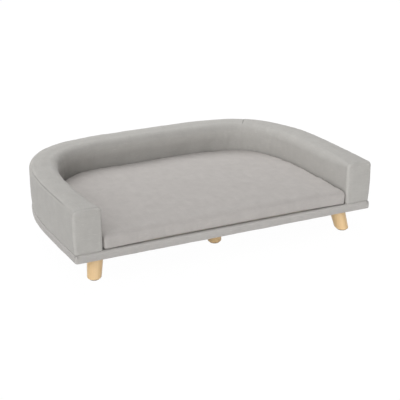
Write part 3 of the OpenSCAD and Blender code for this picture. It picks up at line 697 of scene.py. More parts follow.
# %% Sew the end panels
def end_panel(name, side, seed):
    """The rings, with even triangles inside the last one. side is -1 at the left and 1 at the right."""
    ring, before, ring_out = end_rings()
    face, triangles = fill(ring[-1], spacing=0.004)
    count = before.size
    spots = np.concatenate([ring.reshape(-1, 2), face])
    ahead = np.concatenate([before.ravel(), np.full(len(face), cap_r)])
    x, z = side * (half_width - spots[:, 0]), spots[:, 1]
    flat = np.stack([x, z, 0 * x], -1)
    gap = np.linalg.norm(face[:, None] - ring[-1][None], axis=-1).min(1)
    from_rim = np.concatenate([np.zeros(count), gap])
    # The pad behind swells the face by 1.6 mm, and a painted highlight runs along the rounding, brightest at its
    # top.
    swell = 0.0016 * (1 - np.exp(-((from_rim / 0.014) ** 2))) * np.clip((z - wall_foot_z) / 0.02, 0, 1)
    wrinkles = 0.0004 * lumps(flat, 0.05, seed) + 0.00035 * lumps(flat, 0.012, seed + 1, (4, 1, 1))
    y = cover_start_y - ahead - swell + ahead / cap_r * (roll(z - outer_foot_z - 0.0005, 0.002) + wrinkles)
    painted_highlight = 1.5 * np.exp(-(((ahead - cap_r * 0.6) / 0.003) ** 2)) * (0.6 + 0.4 * lumps(flat, 0.03, seed + 2))
    painted_highlight *= 1 + 1.3 * np.clip((z - wall_top + 0.014) / 0.008, 0, 1)
    # Painted shade along the seam behind the rounding, and where the panel stands on the base.
    painted_shade = end_seam[1] * np.clip(1 - ahead / seam_shade_reach, 0, 1)
    painted_highlight[count:], painted_shade[count:] = 0, 0
    painted_shade = np.maximum(painted_shade, foot_painted_shade * np.clip(1 - (z - outer_foot_z - 0.0015) / 0.0015, 0, 1))
    points = np.stack([x, y, z], -1)
    tilt = 1 - ahead / cap_r
    aside = np.concatenate([ring_out.reshape(-1, 2), np.zeros((len(face), 2))])
    outward = np.stack([-side * aside[:, 0] * tilt, -ahead / cap_r, aside[:, 1] * tilt], -1)
    quads = facing(grid_faces(*before.shape), points, outward)
    triangles = facing(triangles + count, points, outward)
    piece = piece_of(name, points, quads.tolist() + triangles.tolist(), np.stack([x, z], -1),
                     {"painted_highlight": painted_highlight, "painted_shade": painted_shade})
    return thicken(weld(piece), thin_cloth)


for side, word, seed in ((-1, "left", 41), (1, "right", 51)):
    panel = end_panel(f"end_cap_{word}_cloth", side, seed)
    dress(panel, wall_cloth, "frame", "wall_fabric", f"end_cap_{word}")
    print(panel.name, len(panel.data.vertices), "points")

# %% [markdown]
# ## The band round the base
#
# The base is a board with a thin strip of foam round its edge, wrapped in a band of the same cloth. The band
# starts under the board, turns up round the edge and goes in under the wall. Its lip is rounder at the top,
# where the foam is. It is one section carried round the closed outline of the base.


# %% Wrap the base
def closed_outline(side_in, front_in, corner_r, side_count, corner_count, front_count, draw_in=0.0):
    """The closed outline, side_in inside the edge of the base and front_in behind its front: the sides and back,
    then quarter circles and a front line, which is drawn in towards the middle where draw_in isn't zero."""
    start = front_in + corner_r
    place, out = edge_at(np.linspace(start, edge_length - start, side_count))
    a = np.radians(-np.linspace(0, 90, corner_count + 2)[1:-1])
    corner_x, corner_y = half_width - side_in - corner_r, front_y + start
    right = np.stack([corner_x + corner_r * np.cos(a), corner_y + corner_r * np.sin(a)], 1)
    t = np.linspace(1, -1, front_count)
    front = np.stack([t * corner_x, front_y + front_in + draw_in * (1 - t**4)], 1)
    return np.concatenate([place - side_in * out, right, front, (right * flip_x)[::-1]])


def band_section():
    """From the margin under the board, round the low edge, up the side and round the lip to the flange on top."""
    low_r, lip_r, margin, flange = 0.003, 0.0065, 0.036, 0.0175
    return np.concatenate([
        np.stack([np.linspace(margin, low_r, 10), np.full(10, under_z)], 1)[:-1],
        arc(low_r, under_z + low_r, low_r, 270, 180, 7)[:-1],
        np.stack([np.zeros(9), np.linspace(under_z + low_r, deck_z - lip_r, 9)], 1)[:-1],
        arc(lip_r, deck_z - lip_r, lip_r, 180, 90, 11)[:-1],
        np.stack([np.linspace(lip_r, flange, 6), np.full(6, deck_z)], 1),
    ])


def wrap_base():
    """The section carried round the outline. At each front corner the spare cloth is folded into a small pleat,
    which lies 7 mm from the corner and runs up over the lip, with painted shade in its fold."""
    line = band_section()
    rings = np.stack([closed_outline(d, d, max(0.008 - d, 0.001), 430, 9, 150) for d in line[:, 0]], 1)
    side_column = 20  # a place on the band's upright side
    along = way_along(np.concatenate([rings[:, side_column], rings[:1, side_column]]))[:-1]
    u, v = np.meshgrid(along, way_along(line), indexing="ij")
    places = np.concatenate([rings, line[None, :, 1:] + 0 * u[..., None]], -1)
    tilt = np.gradient(line, axis=0)
    tilt /= np.linalg.norm(tilt, axis=1, keepdims=True)
    ahead = np.roll(rings, -1, 0) - np.roll(rings, 1, 0)
    aside = np.stack([-ahead[..., 1], ahead[..., 0]], -1)
    aside /= np.linalg.norm(aside, axis=-1, keepdims=True)
    normal = np.concatenate([aside * tilt[None, :, 1:], tilt[None, :, :1] + 0 * u[..., None]], -1)
    up = np.clip((places[..., 2] - under_z) / (deck_z - under_z), 0, 1)
    flat = np.stack([u, v, 0 * u], -1)
    from_corner = np.linalg.norm(np.abs(places[..., :2]) - np.array([half_width, -front_y]), axis=-1)
    pleat_away, pleat_half_width, pleat_deep = 0.007, 0.0022, 0.0012
    pleat = np.exp(-(((from_corner - pleat_away) / pleat_half_width) ** 2)) * np.clip(up * 4 - 2.2, 0, 1)
    shift = (0.0007 * np.sin(math.pi * up) ** 2 + 0.0003 * lumps(places, 0.09, 61)
             + 0.00015 * lumps(flat, 0.02, 62)) * (np.abs(tilt[None, :, 1]) > 0.05) - pleat_deep * pleat
    # Painted light: a highlight along the top of the lip, and below, painted shade in the pleat's fold.
    painted_highlight = np.exp(-(((v - v[0, -1] + 0.017) / 0.005) ** 2))
    band = surface("base_band_cloth", places + shift[..., None] * normal, np.stack([u, v], -1),
                   {"painted_highlight": painted_highlight, "painted_shade": 0.6 * pleat}, normal, closed=True)
    dress(thicken(band, firm_cloth), base_cloth, "frame", "base_fabric", "base_band")
    print(band.name, len(band.data.vertices), "points, cut", round(u[-1, 0], 3), "x", round(v[0, -1], 4), "m")


wrap_base()

# %% [markdown]
# ## Turned legs
#
# The legs are pale, close-grained wood under a clear satin lacquer. A leg is cut along the grain, so the rings of
# the tree show as long stripes that waver slightly, with short dark flecks of pores. The pattern is a distance
# from a pith that lies outside the leg, made uneven by noise that is drawn out along the height.


# %% Wood for the legs
def turned_wood(name, centre, seed):
    """Growth rings round a pith beside the leg, fine fibres along it and a few flecks."""
    look = Look(name)
    where = look.add("ShaderNodeMapping",
                     {"Vector": look.object_place(), "Location": (-centre[0], -centre[1], 0.13 * seed)})
    x, y, _ = look.parts(where)
    waver = look.noise(look.spread(where, (9, 9, 3.2)), 1.0, 3.0, 0.5)
    far = ((x + 0.055) ** 2.0 + (y - 0.02 * seed / 3) ** 2.0) ** 0.5
    rings = ((far * 900 + waver * 14).sine() + 1) * 0.5
    fibre = look.noise(look.spread(where, (620, 620, 11)), 1.0, 2.0, 0.6)
    fleck = look.noise(look.spread(where, (900, 900, 60)), 1.0, 1.0, 0.5) > 0.68
    tone = 1 + (fibre - 0.5) * 0.05 - rings * rings * 0.015 - fleck * 0.04 + (waver - 0.5) * 0.08
    colour = look.mix(rings * 0.25, (0.990, 0.695, 0.365), (0.955, 0.645, 0.325))
    return look.finish(look.shade(colour, tone), 0.42 + (fibre - 0.5) * 0.15,
                       look.bump(fibre + rings * 0.4, 0.00006, 0.4), Coat_Weight=0.3, Coat_Roughness=0.28,
                       Specular_IOR_Level=0.4)


def cover_slots(node, material):
    """Puts a material on a solid's own slots. Its mesh isn't touched."""
    if not nodes[node].material_slots:
        nodes[node].data.materials.append(material)
    for slot in nodes[node].material_slots:
        slot.material = material


for seed, leg in enumerate(legs, 1):
    low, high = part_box(leg)
    cover_slots(leg, turned_wood(f"wood_of_{leg}", ((low.x + high.x) / 2, (low.y + high.y) / 2), seed))
print("five legs in wood")

# %% [markdown]
# ## What is inside, and the metal
#
# The board, the wall's frame, the foam and the fasteners keep their solids, and get materials of their own: the
# layers of plywood, the pores of foam, the crystals of zinc and the teeth of a coil. All are drawn in the
# object's coordinates, because these solids have no flat pattern.


# %% Materials of the frame, the filling and the fasteners
def sawn_wood(name, pale, dark, grain, layer=0.0):
    """Grain drawn out along one axis, and where layer isn't 0, thin sheets of changing tone stacked along z."""
    look = Look(name)
    where = look.object_place()
    lengthwise = look.noise(look.spread(where, grain), 1.0, 4.0, 0.6)
    fine = look.noise(look.spread(where, tuple(g * 6 for g in grain)), 1.0, 2.0, 0.6)
    share = lengthwise * 1.4 - 0.2
    if layer:
        _, _, z = look.parts(where)
        share = share * 0.6 + ((z * (2 * math.pi / layer)).sine() > 0.2) * 0.35
    return look.finish(look.shade(look.mix(share, pale, dark), 0.9 + fine * 0.2), 0.62 + fine * 0.2,
                       look.bump(fine, 0.0002, 0.5), Specular_IOR_Level=0.35)


def cellular(name, pale, dark, pore, deep):
    """Foam or felt: cells of one size, with darker hollows between them and a slow yellowing."""
    look = Look(name)
    where = look.object_place()
    cells = look.add("ShaderNodeTexVoronoi", {"Vector": where, "Scale": 1 / pore})
    age = look.noise(where, 9.0, 3.0, 0.6)
    return look.finish(look.mix(cells * 0.7 + (age - 0.5) * 0.5, pale, dark), 0.9 + (age - 0.5) * 0.1,
                       look.bump(cells, deep, 0.6), Specular_IOR_Level=0.2)


def metal(name, colour, tint, rough, crystal):
    """Plated steel or a casting: small crystals, a slow change of tint and fine scratches."""
    look = Look(name)
    where = look.object_place()
    grain = look.noise(where, crystal, 3.0, 0.6)
    scratch = look.noise(look.spread(where, (3000, 300, 300)), 1.0, 2.0, 0.7)
    return look.finish(look.mix(look.noise(where, crystal * 0.2), colour, tint), rough + (grain - 0.5) * 0.25,
                       look.bump(grain * 0.5 + scratch * 0.5, 0.00002, 0.5), Metallic=1.0)


def toothed(name, colour, pitch):
    """A nylon coil, whose turns show as rounded teeth across the zip."""
    look = Look(name)
    where = look.object_place()
    x, _, _ = look.parts(where)
    tooth = abs((x * (math.pi / pitch)).sine())
    worn = look.noise(where, 160.0, 2.0)
    return look.finish(look.shade(colour, 0.55 + tooth * 0.6 + (worn - 0.5) * 0.2), 0.34 + worn * 0.2,
                       look.bump(tooth, 0.0005, 1.0))


plywood = sawn_wood("raw_plywood", (0.700, 0.530, 0.345), (0.560, 0.400, 0.240), (4, 40, 40), 0.003)
softwood = sawn_wood("raw_softwood", (0.745, 0.575, 0.365), (0.610, 0.430, 0.240), (60, 60, 4))
hardboard = sawn_wood("brown_hardboard", (0.360, 0.235, 0.140), (0.290, 0.180, 0.100), (90, 90, 90))
foam = cellular("cream_foam", (0.800, 0.760, 0.610), (0.640, 0.580, 0.420), 0.0014, 0.0005)
felt = cellular("dark_felt", (0.130, 0.115, 0.100), (0.060, 0.053, 0.046), 0.0007, 0.0004)
zinc = metal("bright_zinc", (0.580, 0.590, 0.600), (0.500, 0.520, 0.560), 0.38, 700.0)
yellow_zinc = metal("yellow_zinc", (0.640, 0.540, 0.300), (0.560, 0.560, 0.380), 0.34, 700.0)
nickel = metal("cast_nickel", (0.640, 0.630, 0.610), (0.560, 0.550, 0.540), 0.28, 1500.0)
coil = toothed("nylon_coil", (0.230, 0.228, 0.224), 0.0012)
wall_foams = [f"wall_foam_{part}" for part in ("left_arm", "left_corner", "back", "right_corner", "right_arm")]
for material, covered in (
        (plywood, ["base_board", "wall_bottom_rail", "wall_top_rail"]), (softwood, ["wall_posts"]),
        (hardboard, ["wall_outer_panel", "wall_inner_panel"]), (felt, ["foot_pads"]), (coil, ["zip_coil"]),
        (foam, ["base_edge_foam", "base_padding", "end_foam_left", "end_foam_right", "cushion_foam", *wall_foams]),
        (zinc, ["dust_cover_staples", "leg_bolts", "leg_tee_nuts", "wall_bolts", "wall_washers", "wall_tee_nuts"]),
        (yellow_zinc, ["frame_screws"]), (nickel, ["zip_stops", "zip_slider", "zip_pull"])):
    for node in covered:
        cover_slots(node, material)
    print(material.name, "on", ", ".join(covered))

# %% [markdown]
# ## The cushion
#
# A thick loose cushion fills the wall: a foam slab under wadding, in a cover that is pulled on through a zip
# underneath. It is drawn as rings, from the middle of its underside, round its edge, to the middle of its crown.
# The rings follow the same outline as the wall, so the gap between the two is even. The front edge is rounder
# than the rest, because a dog steps on it.


# %% Measures of the cushion
cushion_low, cushion_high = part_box("cushion_cover")
foam_low, foam_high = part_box("cushion_foam")
cushion_side, cushion_front = 0.089, 0.004  # how far in its side and its front are
cushion_edge_z = deck_z + 0.047
top_r, front_r, low_r = 0.010, 0.019, 0.0022  # its upper edge, that edge along the front, and its lower edge
crown, draw_in = 0.011, 0.003  # how far its top swells, and how far its front is drawn in at the middle
hem = 0.014  # how far the cover goes on under the cushion
print("cushion", round(cushion_high.x - cushion_low.x, 3), "m wide,", round(cushion_edge_z - deck_z, 3), "m thick")


# %% Draw the cushion
cushion_middle = np.array([0.0, (front_y + cushion_front + back_y - cushion_side) / 2])


def cushion_outline(inward, front_more=0.0):
    """The cushion's outline from above, moved inwards, with its front edge drawn in towards the middle."""
    front_in = cushion_front + inward + front_more
    return closed_outline(cushion_side + inward, front_in, max(0.009 - inward, 0.002), 150, 6, 60, draw_in)


def cushion_rings(small, floor_z, floor_r):
    """Rings from the middle of a level underside, round its edge, up the side, round the top edge and in over the
    crown. small is how much too small the shape is drawn. The top edge is roundest along the front."""
    top_z = cushion_edge_z - small
    at_front = np.clip(1 - (cushion_outline(0.0)[:, 1] - front_y - cushion_front) / 0.07, 0, 1)
    starts = [math.pi - math.asin(max(0.0, 1 - (top_z - floor_z - floor_r) / r)) for r in (top_r, front_r)]
    low_side_in, low_front_in = (r * (1 + math.cos(a)) for r, a in zip((top_r, front_r), starts))

    def low(more):
        return cushion_outline(small + low_side_in + more, low_front_in - low_side_in)

    underside = low(floor_r) - cushion_middle
    rings = [(cushion_middle + underside * share, floor_z) for share in (0.02, 0.3, 0.6, 0.85)]
    for a in np.radians(np.linspace(270, 180, 5)):
        rings.append((low(floor_r * (1 + math.cos(a))), floor_z + floor_r * (1 + math.sin(a))))
    for share in np.linspace(0, 1, 10):
        a, b = (start + share * (math.pi / 2 - start) for start in starts)
        side_in, front_in = top_r * (1 + math.cos(a)), front_r * (1 + math.cos(b))
        side_z, front_z = top_z - top_r * (1 - math.sin(a)), top_z - front_r * (1 - math.sin(b))
        edge = cushion_outline(small + side_in, front_in - side_in)
        rings.append((edge, side_z + at_front * (front_z - side_z)))
    upper_side = cushion_outline(small + top_r, front_r - top_r) - cushion_middle
    for share in (0.94, 0.85, 0.72, 0.56, 0.38, 0.2, 0.02):
        rings.append((cushion_middle + upper_side * share, top_z + crown * (1 - share**2)))
    return np.stack([np.column_stack([line, z + 0 * line[:, 0]]) for line, z in rings], 1)


def close_ends(piece):
    """Closes the small holes at the two poles of a piece made of rings."""
    bm = bmesh.new()
    bm.from_mesh(piece.data)
    bmesh.ops.holes_fill(bm, edges=[e for e in bm.edges if e.is_boundary])
    bmesh.ops.recalc_face_normals(bm, faces=bm.faces)
    bm.to_mesh(piece.data)
    bm.free()
    return piece


def ring_form(name, rings):
    """A closed piece from rings."""
    return close_ends(surface(name, rings, rings[..., :2], closed=True))


def beside_cap(places):
    """How far the cushion sinks beside the wall's two ends: 3 mm at the left and 1.5 mm at the right."""
    from_side = half_width - cushion_side - np.abs(places[:, 0])
    from_front = places[:, 1] - front_y - cushion_front
    depth = np.where(places[:, 0] < 0, 0.003, 0.0015)
    return depth * np.exp(-((from_side / 0.026) ** 2) - (((from_front - 0.05) / 0.03) ** 2))


wadding_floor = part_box("cushion_wadding")[0].z
wadding = weld(ring_form("cushion_wadding_layer", cushion_rings(0.005, wadding_floor, 0.0008)))
places = values_of(wadding.data.vertices, "co")
places[:, 2] = np.maximum(places[:, 2] - 1.3 * beside_cap(places), wadding_floor)
wadding.data.vertices.foreach_set("co", places.astype(np.float32).ravel())
print("wadding drawn with", len(wadding.data.vertices), "points")

# %% [markdown]
# ## Room for the cover
#
# A cover is a bag, and what makes it look stuffed is that it is pushed out from inside and held by its own cloth.
# The next step does that. Before it, this one says where the cover may not go: into the wall, the deck, the air
# in front of the base, or the foam. A collision object for each could say the same, but is slower and less exact
# than a limit on places.


# %% Keep the cushion in its place
def even_mesh(piece, voxel):
    """The same shape cut into even squares."""
    remesh = piece.modifiers.new("even", "REMESH")
    remesh.mode, remesh.voxel_size, remesh.adaptivity = "VOXEL", voxel, 0
    mesh = bpy.data.meshes.new_from_object(piece.evaluated_get(bpy.context.evaluated_depsgraph_get()))
    piece.modifiers.clear()
    piece.data = mesh
    return piece


def inset_of(places):
    """How far places lie inside the base's edge, with the outward direction there, from the nearest of many
    places along the edge."""
    line, out = edge_at(np.linspace(0, edge_length, 900))
    nearest = np.concatenate([
        ((chunk[:, None, :2] - line[None]) ** 2).sum(-1).argmin(1) for chunk in np.array_split(places, 40)])
    return ((line[nearest] - places[:, :2]) * out[nearest]).sum(1), out[nearest]


cloth_room = 0.0028  # for the wadding and the cover in front of the foam
side_room, front_room = 0.0012, 0.0015  # how far the cover may swell past its drawn side and front


def keep_in_place(places):
    """Keeps the cushion off the wall, the deck and the front of the base, and its front off the foam inside."""
    inset, out = inset_of(places)
    beside_foam = np.clip((foam_high.z + 0.003 - places[:, 2]) / 0.002, 0, 1)
    beside_foam *= np.abs(places[:, 0]) < foam_high.x
    foam_front = foam_low.y + draw_in * (1 - (places[:, 0] / foam_high.x) ** 4) - cloth_room
    in_front = beside_foam * (places[:, 1] < foam_low.y + 0.004)
    places[:, 1] -= in_front * np.maximum(places[:, 1] - foam_front, 0)
    over = np.maximum(cushion_side - side_room - inset, 0)
    places[:, :2] -= over[:, None] * out
    places[:, 1] = np.maximum(places[:, 1], front_y + cushion_front - front_room)
    places[:, 2] = np.clip(places[:, 2], cushion_low.z + 0.0006, cushion_high.z + 0.003)
    return places


cushion = even_mesh(ring_form("cushion_cover_cloth", cushion_rings(0.0012, cushion_low.z + 0.0006, low_r)), 0.007)
places = values_of(cushion.data.vertices, "co")
print("cushion cut into", len(places), "points")

# %% [markdown]
# ## Blowing the cushion up
#
# The cover was drawn a little too small and cut into an even mesh. Now it is blown up for twenty frames, as cloth
# under pressure that is held at its underside. Small buckles are evened out, and how far any point may go is
# capped, so that the result stays the same cushion.


# %% Blow the cushion up
def even_out(move, edges, rounds):
    """Takes the smallest buckles out of a simulated move: each point's move becomes the mean of its own and of its
    neighbours' mean, some times over."""
    count = np.maximum(np.bincount(edges.ravel(), minlength=len(move)), 1)[:, None]
    for _ in range(rounds):
        total = np.zeros_like(move)
        np.add.at(total, edges[:, 0], move[edges[:, 1]])
        np.add.at(total, edges[:, 1], move[edges[:, 0]])
        move = (move + total / count) / 2
    return move


def blow_up(piece, pressure, hold, cap, frames=20):
    """Cloth under pressure, without gravity. Its underside is held fast, and the filling holds the rest softly in
    place. Each point keeps its heading, but goes no further than cap."""
    before = values_of(piece.data.vertices, "co")
    under = before[:, 2] < before[:, 2].min() + 0.0015
    held = piece.vertex_groups.new(name="held")
    held.add(np.nonzero(under)[0].tolist(), 1.0, "REPLACE")
    held.add(np.nonzero(~under)[0].tolist(), hold, "REPLACE")
    cloth = piece.modifiers.new("cloth", "CLOTH")
    settings = cloth.settings
    settings.quality, settings.mass, settings.air_damping = 5, 0.15, 1.0
    settings.tension_stiffness = settings.compression_stiffness = 12
    settings.shear_stiffness, settings.bending_stiffness = 6, 1.5
    settings.shrink_min = -0.012  # below 0 it is spare cloth
    settings.vertex_group_mass = "held"
    settings.use_pressure, settings.uniform_pressure_force = True, pressure
    settings.effector_weights.gravity = 0
    cloth.point_cache.frame_start, cloth.point_cache.frame_end = 1, frames
    for number in range(1, frames + 1):
        bpy.context.scene.frame_set(number)
    after = values_of(piece.evaluated_get(bpy.context.evaluated_depsgraph_get()).data.vertices, "co")
    piece.modifiers.remove(cloth)
    piece.vertex_groups.clear()
    bpy.context.scene.frame_set(1)
    move = even_out(after - before, values_of(piece.data.edges, "vertices", 2).astype(int), 8)
    far = np.linalg.norm(move, axis=1, keepdims=True)
    print("half of the points moved over", round(float(np.median(far)) * 1000, 2), "mm, and none over",
          round(float(far.max()) * 1000, 1), "mm")
    return before + move * np.minimum(1, cap / np.maximum(far, 1e-9))


places = blow_up(cushion, pressure=2.0, hold=0.2, cap=0.0035)
places = keep_in_place(places)
cushion.data.vertices.foreach_set("co", places.astype(np.float32).ravel())
cushion.data.update()
print("cushion has", len(places), "points and reaches", places.min(0).round(4), places.max(0).round(4))

# %% [markdown]
# ## Finishing the cushion
#
# The blown-up mesh has no flat pattern of its own, so the weave is laid on from the side that each face looks
# to: from above on the top, and from the front or the side on the edges. The middle of its underside is cut out,
# because a panel with the zip closes it. The cushion then gets its soft dents, and sinks a little beside the
# wall's front ends. A subdivision surface rounds what the even mesh left angular.


# %% Helpers for the cushion's cover
def lay_weave(mesh):
    """UV map in metres from the two coordinates that each face lies along most."""
    normal = values_of(mesh.polygons, "normal")
    total = values_of(mesh.polygons, "loop_total", 1).astype(int).ravel()
    corner = values_of(mesh.loops, "vertex_index", 1).astype(int).ravel()
    size = np.abs(normal)[np.repeat(np.arange(len(total)), total)]
    co = values_of(mesh.vertices, "co")[corner]
    top, front = size[:, 2] > 0.6, size[:, 1] >= size[:, 0]
    u = np.where(top | front, co[:, 0], co[:, 1])
    v = np.where(top, co[:, 1], co[:, 2])
    uv = mesh.uv_layers.get("weave") or mesh.uv_layers.new(name="weave")
    uv.data.foreach_set("uv", np.stack([u, v], 1).astype(np.float32).ravel())


def open_underside(piece, inward):
    """Takes out the faces of the underside that lie further in than its hem."""
    bm = bmesh.new()
    bm.from_mesh(piece.data)
    bm.faces.ensure_lookup_table()
    centres = np.array([f.calc_center_median() for f in bm.faces])
    inset, _ = inset_of(centres)
    inside = np.minimum(inset - cushion_side, centres[:, 1] - front_y - cushion_front) > inward
    gone = np.nonzero(inside & (centres[:, 2] < cushion_low.z + 0.004))[0]
    bmesh.ops.delete(bm, geom=[bm.faces[k] for k in gone], context="FACES")
    bm.to_mesh(piece.data)
    bm.free()


def near_top_edge(places, reach):
    """1 at the cushion's upper edge, falling over a reach inwards and downwards."""
    inset, _ = inset_of(places)
    from_edge = np.minimum(inset - cushion_side, places[:, 1] - front_y - cushion_front)
    upper = np.clip((places[:, 2] - cushion_low.z - 0.012) / 0.02, 0, 1)
    return np.exp(-((from_edge / reach) ** 2)) * upper, upper


top_edge_reach = 0.032
print(round(float(near_top_edge(places, top_edge_reach)[0].mean()), 3), "of the cushion lies near its upper edge")


# %% Finish the cushion
edge_near, upper = near_top_edge(places, top_edge_reach)
dent = 0.0010 * edge_near * lumps(places, 0.034, 71) + 0.0008 * upper * lumps(places, 0.13, 72)
dent -= upper * beside_cap(places)
places = keep_in_place(places + dent[:, None] * values_of(cushion.data.vertices, "normal"))
cushion.data.vertices.foreach_set("co", places.astype(np.float32).ravel())
open_underside(cushion, hem)
places = values_of(cushion.data.vertices, "co")
edge_near, _ = near_top_edge(places, top_edge_reach)
# A painted highlight along the upper edge, and painted shade along the underside where the cushion sits on the
# deck.
set_mark(cushion.data, "painted_highlight", 0.3 * edge_near * (0.5 + 0.5 * lumps(places, 0.06, 73)).clip(0, 1))
set_mark(cushion.data, "painted_shade", 0.9 * np.clip((cushion_low.z + 0.0035 - places[:, 2]) / 0.0025, 0, 1))
lay_weave(cushion.data)
cushion.data.polygons.foreach_set("use_smooth", np.ones(len(cushion.data.polygons), bool))
smooth = cushion.modifiers.new("finer", "SUBSURF")
smooth.levels = smooth.render_levels = 1
dress(thicken(cushion, thin_cloth), cushion_cloth, "cushion", "cushion_fabric", "cushion_cover")
dress(wadding, cellular("white_wadding", (0.86, 0.86, 0.85), (0.74, 0.74, 0.73), 0.004, 0.001),
      "cushion", "wadding", "cushion_wadding")
print("cushion dressed")

# %% [markdown]
# ## Level cloths
#
# These cloths lie flat: the one over the deck, the thin dust cover below, and the cushion's bottom panel with the
# tapes and the welts of its zip. Each is cut to its outline, with holes for the legs or the zip, and filled with
# even triangles. They are stretched or sewn down, so only the tapes and the welts ripple, by less than 0.1 mm.


# %% Helpers for level cloths
def level_cloth(name, outline, z, thickness, faces_up, ripple, seed, holes=(), spacing=0.012):
    """A cloth cut to an outline with holes. ripple is how far it rises and falls."""
    spots, faces = fill(outline, holes, spacing)
    height = z + ripple * lumps(np.concatenate([spots, 0 * spots[:, :1]], 1), 0.12, seed)
    points = np.column_stack([spots, height])
    faces = facing(faces, points, np.broadcast_to([0.0, 0.0, 1.0 if faces_up else -1.0], points.shape))
    piece = piece_of(name, points, faces.tolist(), spots, {})
    return thicken(piece, thickness), sum(p.area for p in piece.data.polygons)


def box_loop(x0, x1, y0, y1, corner_r=0.0):
    """A rectangle as a loop, with rounded corners where corner_r isn't 0."""
    if not corner_r:
        return np.array([(x0, y0), (x1, y0), (x1, y1), (x0, y1)])
    a, r = np.radians(np.linspace(0, 90, 5)), corner_r
    corners = ((x1 - r, y1 - r), (x0 + r, y1 - r), (x0 + r, y0 + r), (x1 - r, y0 + r))
    return np.concatenate([
        np.stack([x + r * np.cos(a + turns * math.pi / 2), y + r * np.sin(a + turns * math.pi / 2)], 1)
        for turns, (x, y) in enumerate(corners)])


def stretch(made, material, body, slot, node, rests_on):
    """Dresses a level cloth and says what it was cut from."""
    piece, area = made
    dress(piece, material, body, slot, node)
    size = np.ptp(values_of(piece.data.vertices, "co"), axis=0)
    print(piece.name, "cut", size[:2].round(4), "m, area", round(area, 4), "m2")


print("a slot has", len(box_loop(0, 1, 0, 1, 0.1)), "corner points")


# %% Cloth for the underside
plain_cloth = woven("plain_underside", (0.300, 0.292, 0.282), thread=0.0009, mottle=0.03, slub=0.03, nap=0.02)
tape_cloth = woven("zip_tape_weave", (0.300, 0.300, 0.298), thread=0.0006, mottle=0.02, slub=0.02, nap=0.01)


def spun_bond(name, colour):
    """Thin cloth of pressed fibres: a fine crossing noise with a regular pattern of small bonded points."""
    look = Look(name)
    flat = look.weave_place()
    u, v, _ = look.parts(flat)
    bond = ((u * 2100).sine() * (v * 2100).sine()) > 0.55
    fibre = look.noise(look.spread(flat, (300, 1400, 1)), 1.0, 3.0, 0.7)
    return look.finish(look.shade(colour, 0.7 + fibre * 0.6 - bond * 0.25), 0.8 - bond * 0.25,
                       look.bump(fibre - bond * 0.5, 0.0001, 0.6), Specular_IOR_Level=0.3)


dust_cloth = spun_bond("black_spun_bond", (0.045, 0.045, 0.047))
print("cloths woven:", plain_cloth.name, tape_cloth.name, dust_cloth.name)


# %% Cut the cloths of the base
deck_low, deck_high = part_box("deck_cloth")
deck_side = half_width - deck_high.x
stretch(level_cloth("deck_cloth_sheet", closed_outline(deck_side, deck_low.y - front_y, 0.002, 220, 2, 60),
                    deck_high.z, firm_cloth, True, 0.0, 81), base_cloth, "frame", "base_fabric", "deck_cloth",
        ["base_padding"])

dust_low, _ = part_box("dust_cover")
leg_hole_r = 0.0275
leg_holes = []
a = np.linspace(0, 2 * math.pi, 33)[:-1]
hole_ring = leg_hole_r * np.stack([np.cos(a), np.sin(a)], 1)
for leg in legs:
    leg_places = values_of(nodes[leg].data.vertices, "co")
    top = leg_places[leg_places[:, 2] > leg_places[:, 2].max() - 0.0005, :2]
    leg_holes.append((top.min(0) + top.max(0)) / 2 + hole_ring)
dust_inset = dust_low.y - front_y
stretch(level_cloth("dust_cover_sheet", closed_outline(dust_inset, dust_inset, 0.002, 240, 2, 60), dust_low.z,
                    0.0005, False, 0.0, 82, leg_holes), dust_cloth, "frame", "dust_cloth", "dust_cover",
        ["base_board"])


# %% Cut the cloths under the cushion
tape_low, tape_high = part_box("zip_tape")
welt_low, welt_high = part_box("zip_welts")
slot_half = 0.011
zip_y = (tape_low.y + tape_high.y) / 2
zip_slot = box_loop(tape_low.x, tape_high.x, zip_y - slot_half, zip_y + slot_half, 0.003)
stretch(level_cloth("cushion_bottom_panel_cloth", cushion_outline(hem - 0.003), cushion_low.z, firm_cloth, False,
                    0.0, 83, [zip_slot]), plain_cloth, "cushion", "underside_fabric", "cushion_bottom_panel",
        ["cushion_foam"])
coil_low, coil_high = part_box("zip_coil")
for word, low_y, high_y in (("front", tape_low.y, coil_low.y), ("back", coil_high.y, tape_high.y)):
    stretch(level_cloth(f"zip_tape_{word}_ribbon", box_loop(tape_low.x, tape_high.x, low_y, high_y), tape_low.z,
                        tape_high.z - tape_low.z, False, 0.00008, 84, spacing=0.004),
            tape_cloth, "cushion", "zip_fabric", "zip_tape", ["cushion_bottom_panel"])
for word, low_y, high_y in (("front", welt_low.y, zip_y - slot_half), ("back", zip_y + slot_half, welt_high.y)):
    piece, _ = level_cloth(f"zip_welt_{word}_cloth", box_loop(welt_low.x, welt_high.x, low_y, high_y, 0.001),
                           welt_low.z, welt_high.z - welt_low.z, False, 0.00008, 85, spacing=0.003)
    dress(piece, plain_cloth, "cushion", "underside_fabric", "zip_welts")

# %% [markdown]
# ## The studio
#
# A white room. The floor and the sky look white to the camera by their colour, not by more light, and the floor
# keeps a soft shadow under the legs. The sky lights the sofa as six broad soft boxes would, brightest from the
# front left. Painting them on the sky takes no lamps, and the falloff of each is one cosine.


# %% Floor and sky
seen_white = 1.02  # a little over 1, so that the picture's noise doesn't grey it


def seen_directly(look):
    """1 for rays that come from the camera, or from a mirror or glass, and 0 for light that bounces."""
    path = look.tree.nodes.new("ShaderNodeLightPath")
    return (Signal(look, path.outputs["Is Camera Ray"]).most(Signal(look, path.outputs["Is Glossy Ray"]))
            .most(Signal(look, path.outputs["Is Transmission Ray"])))


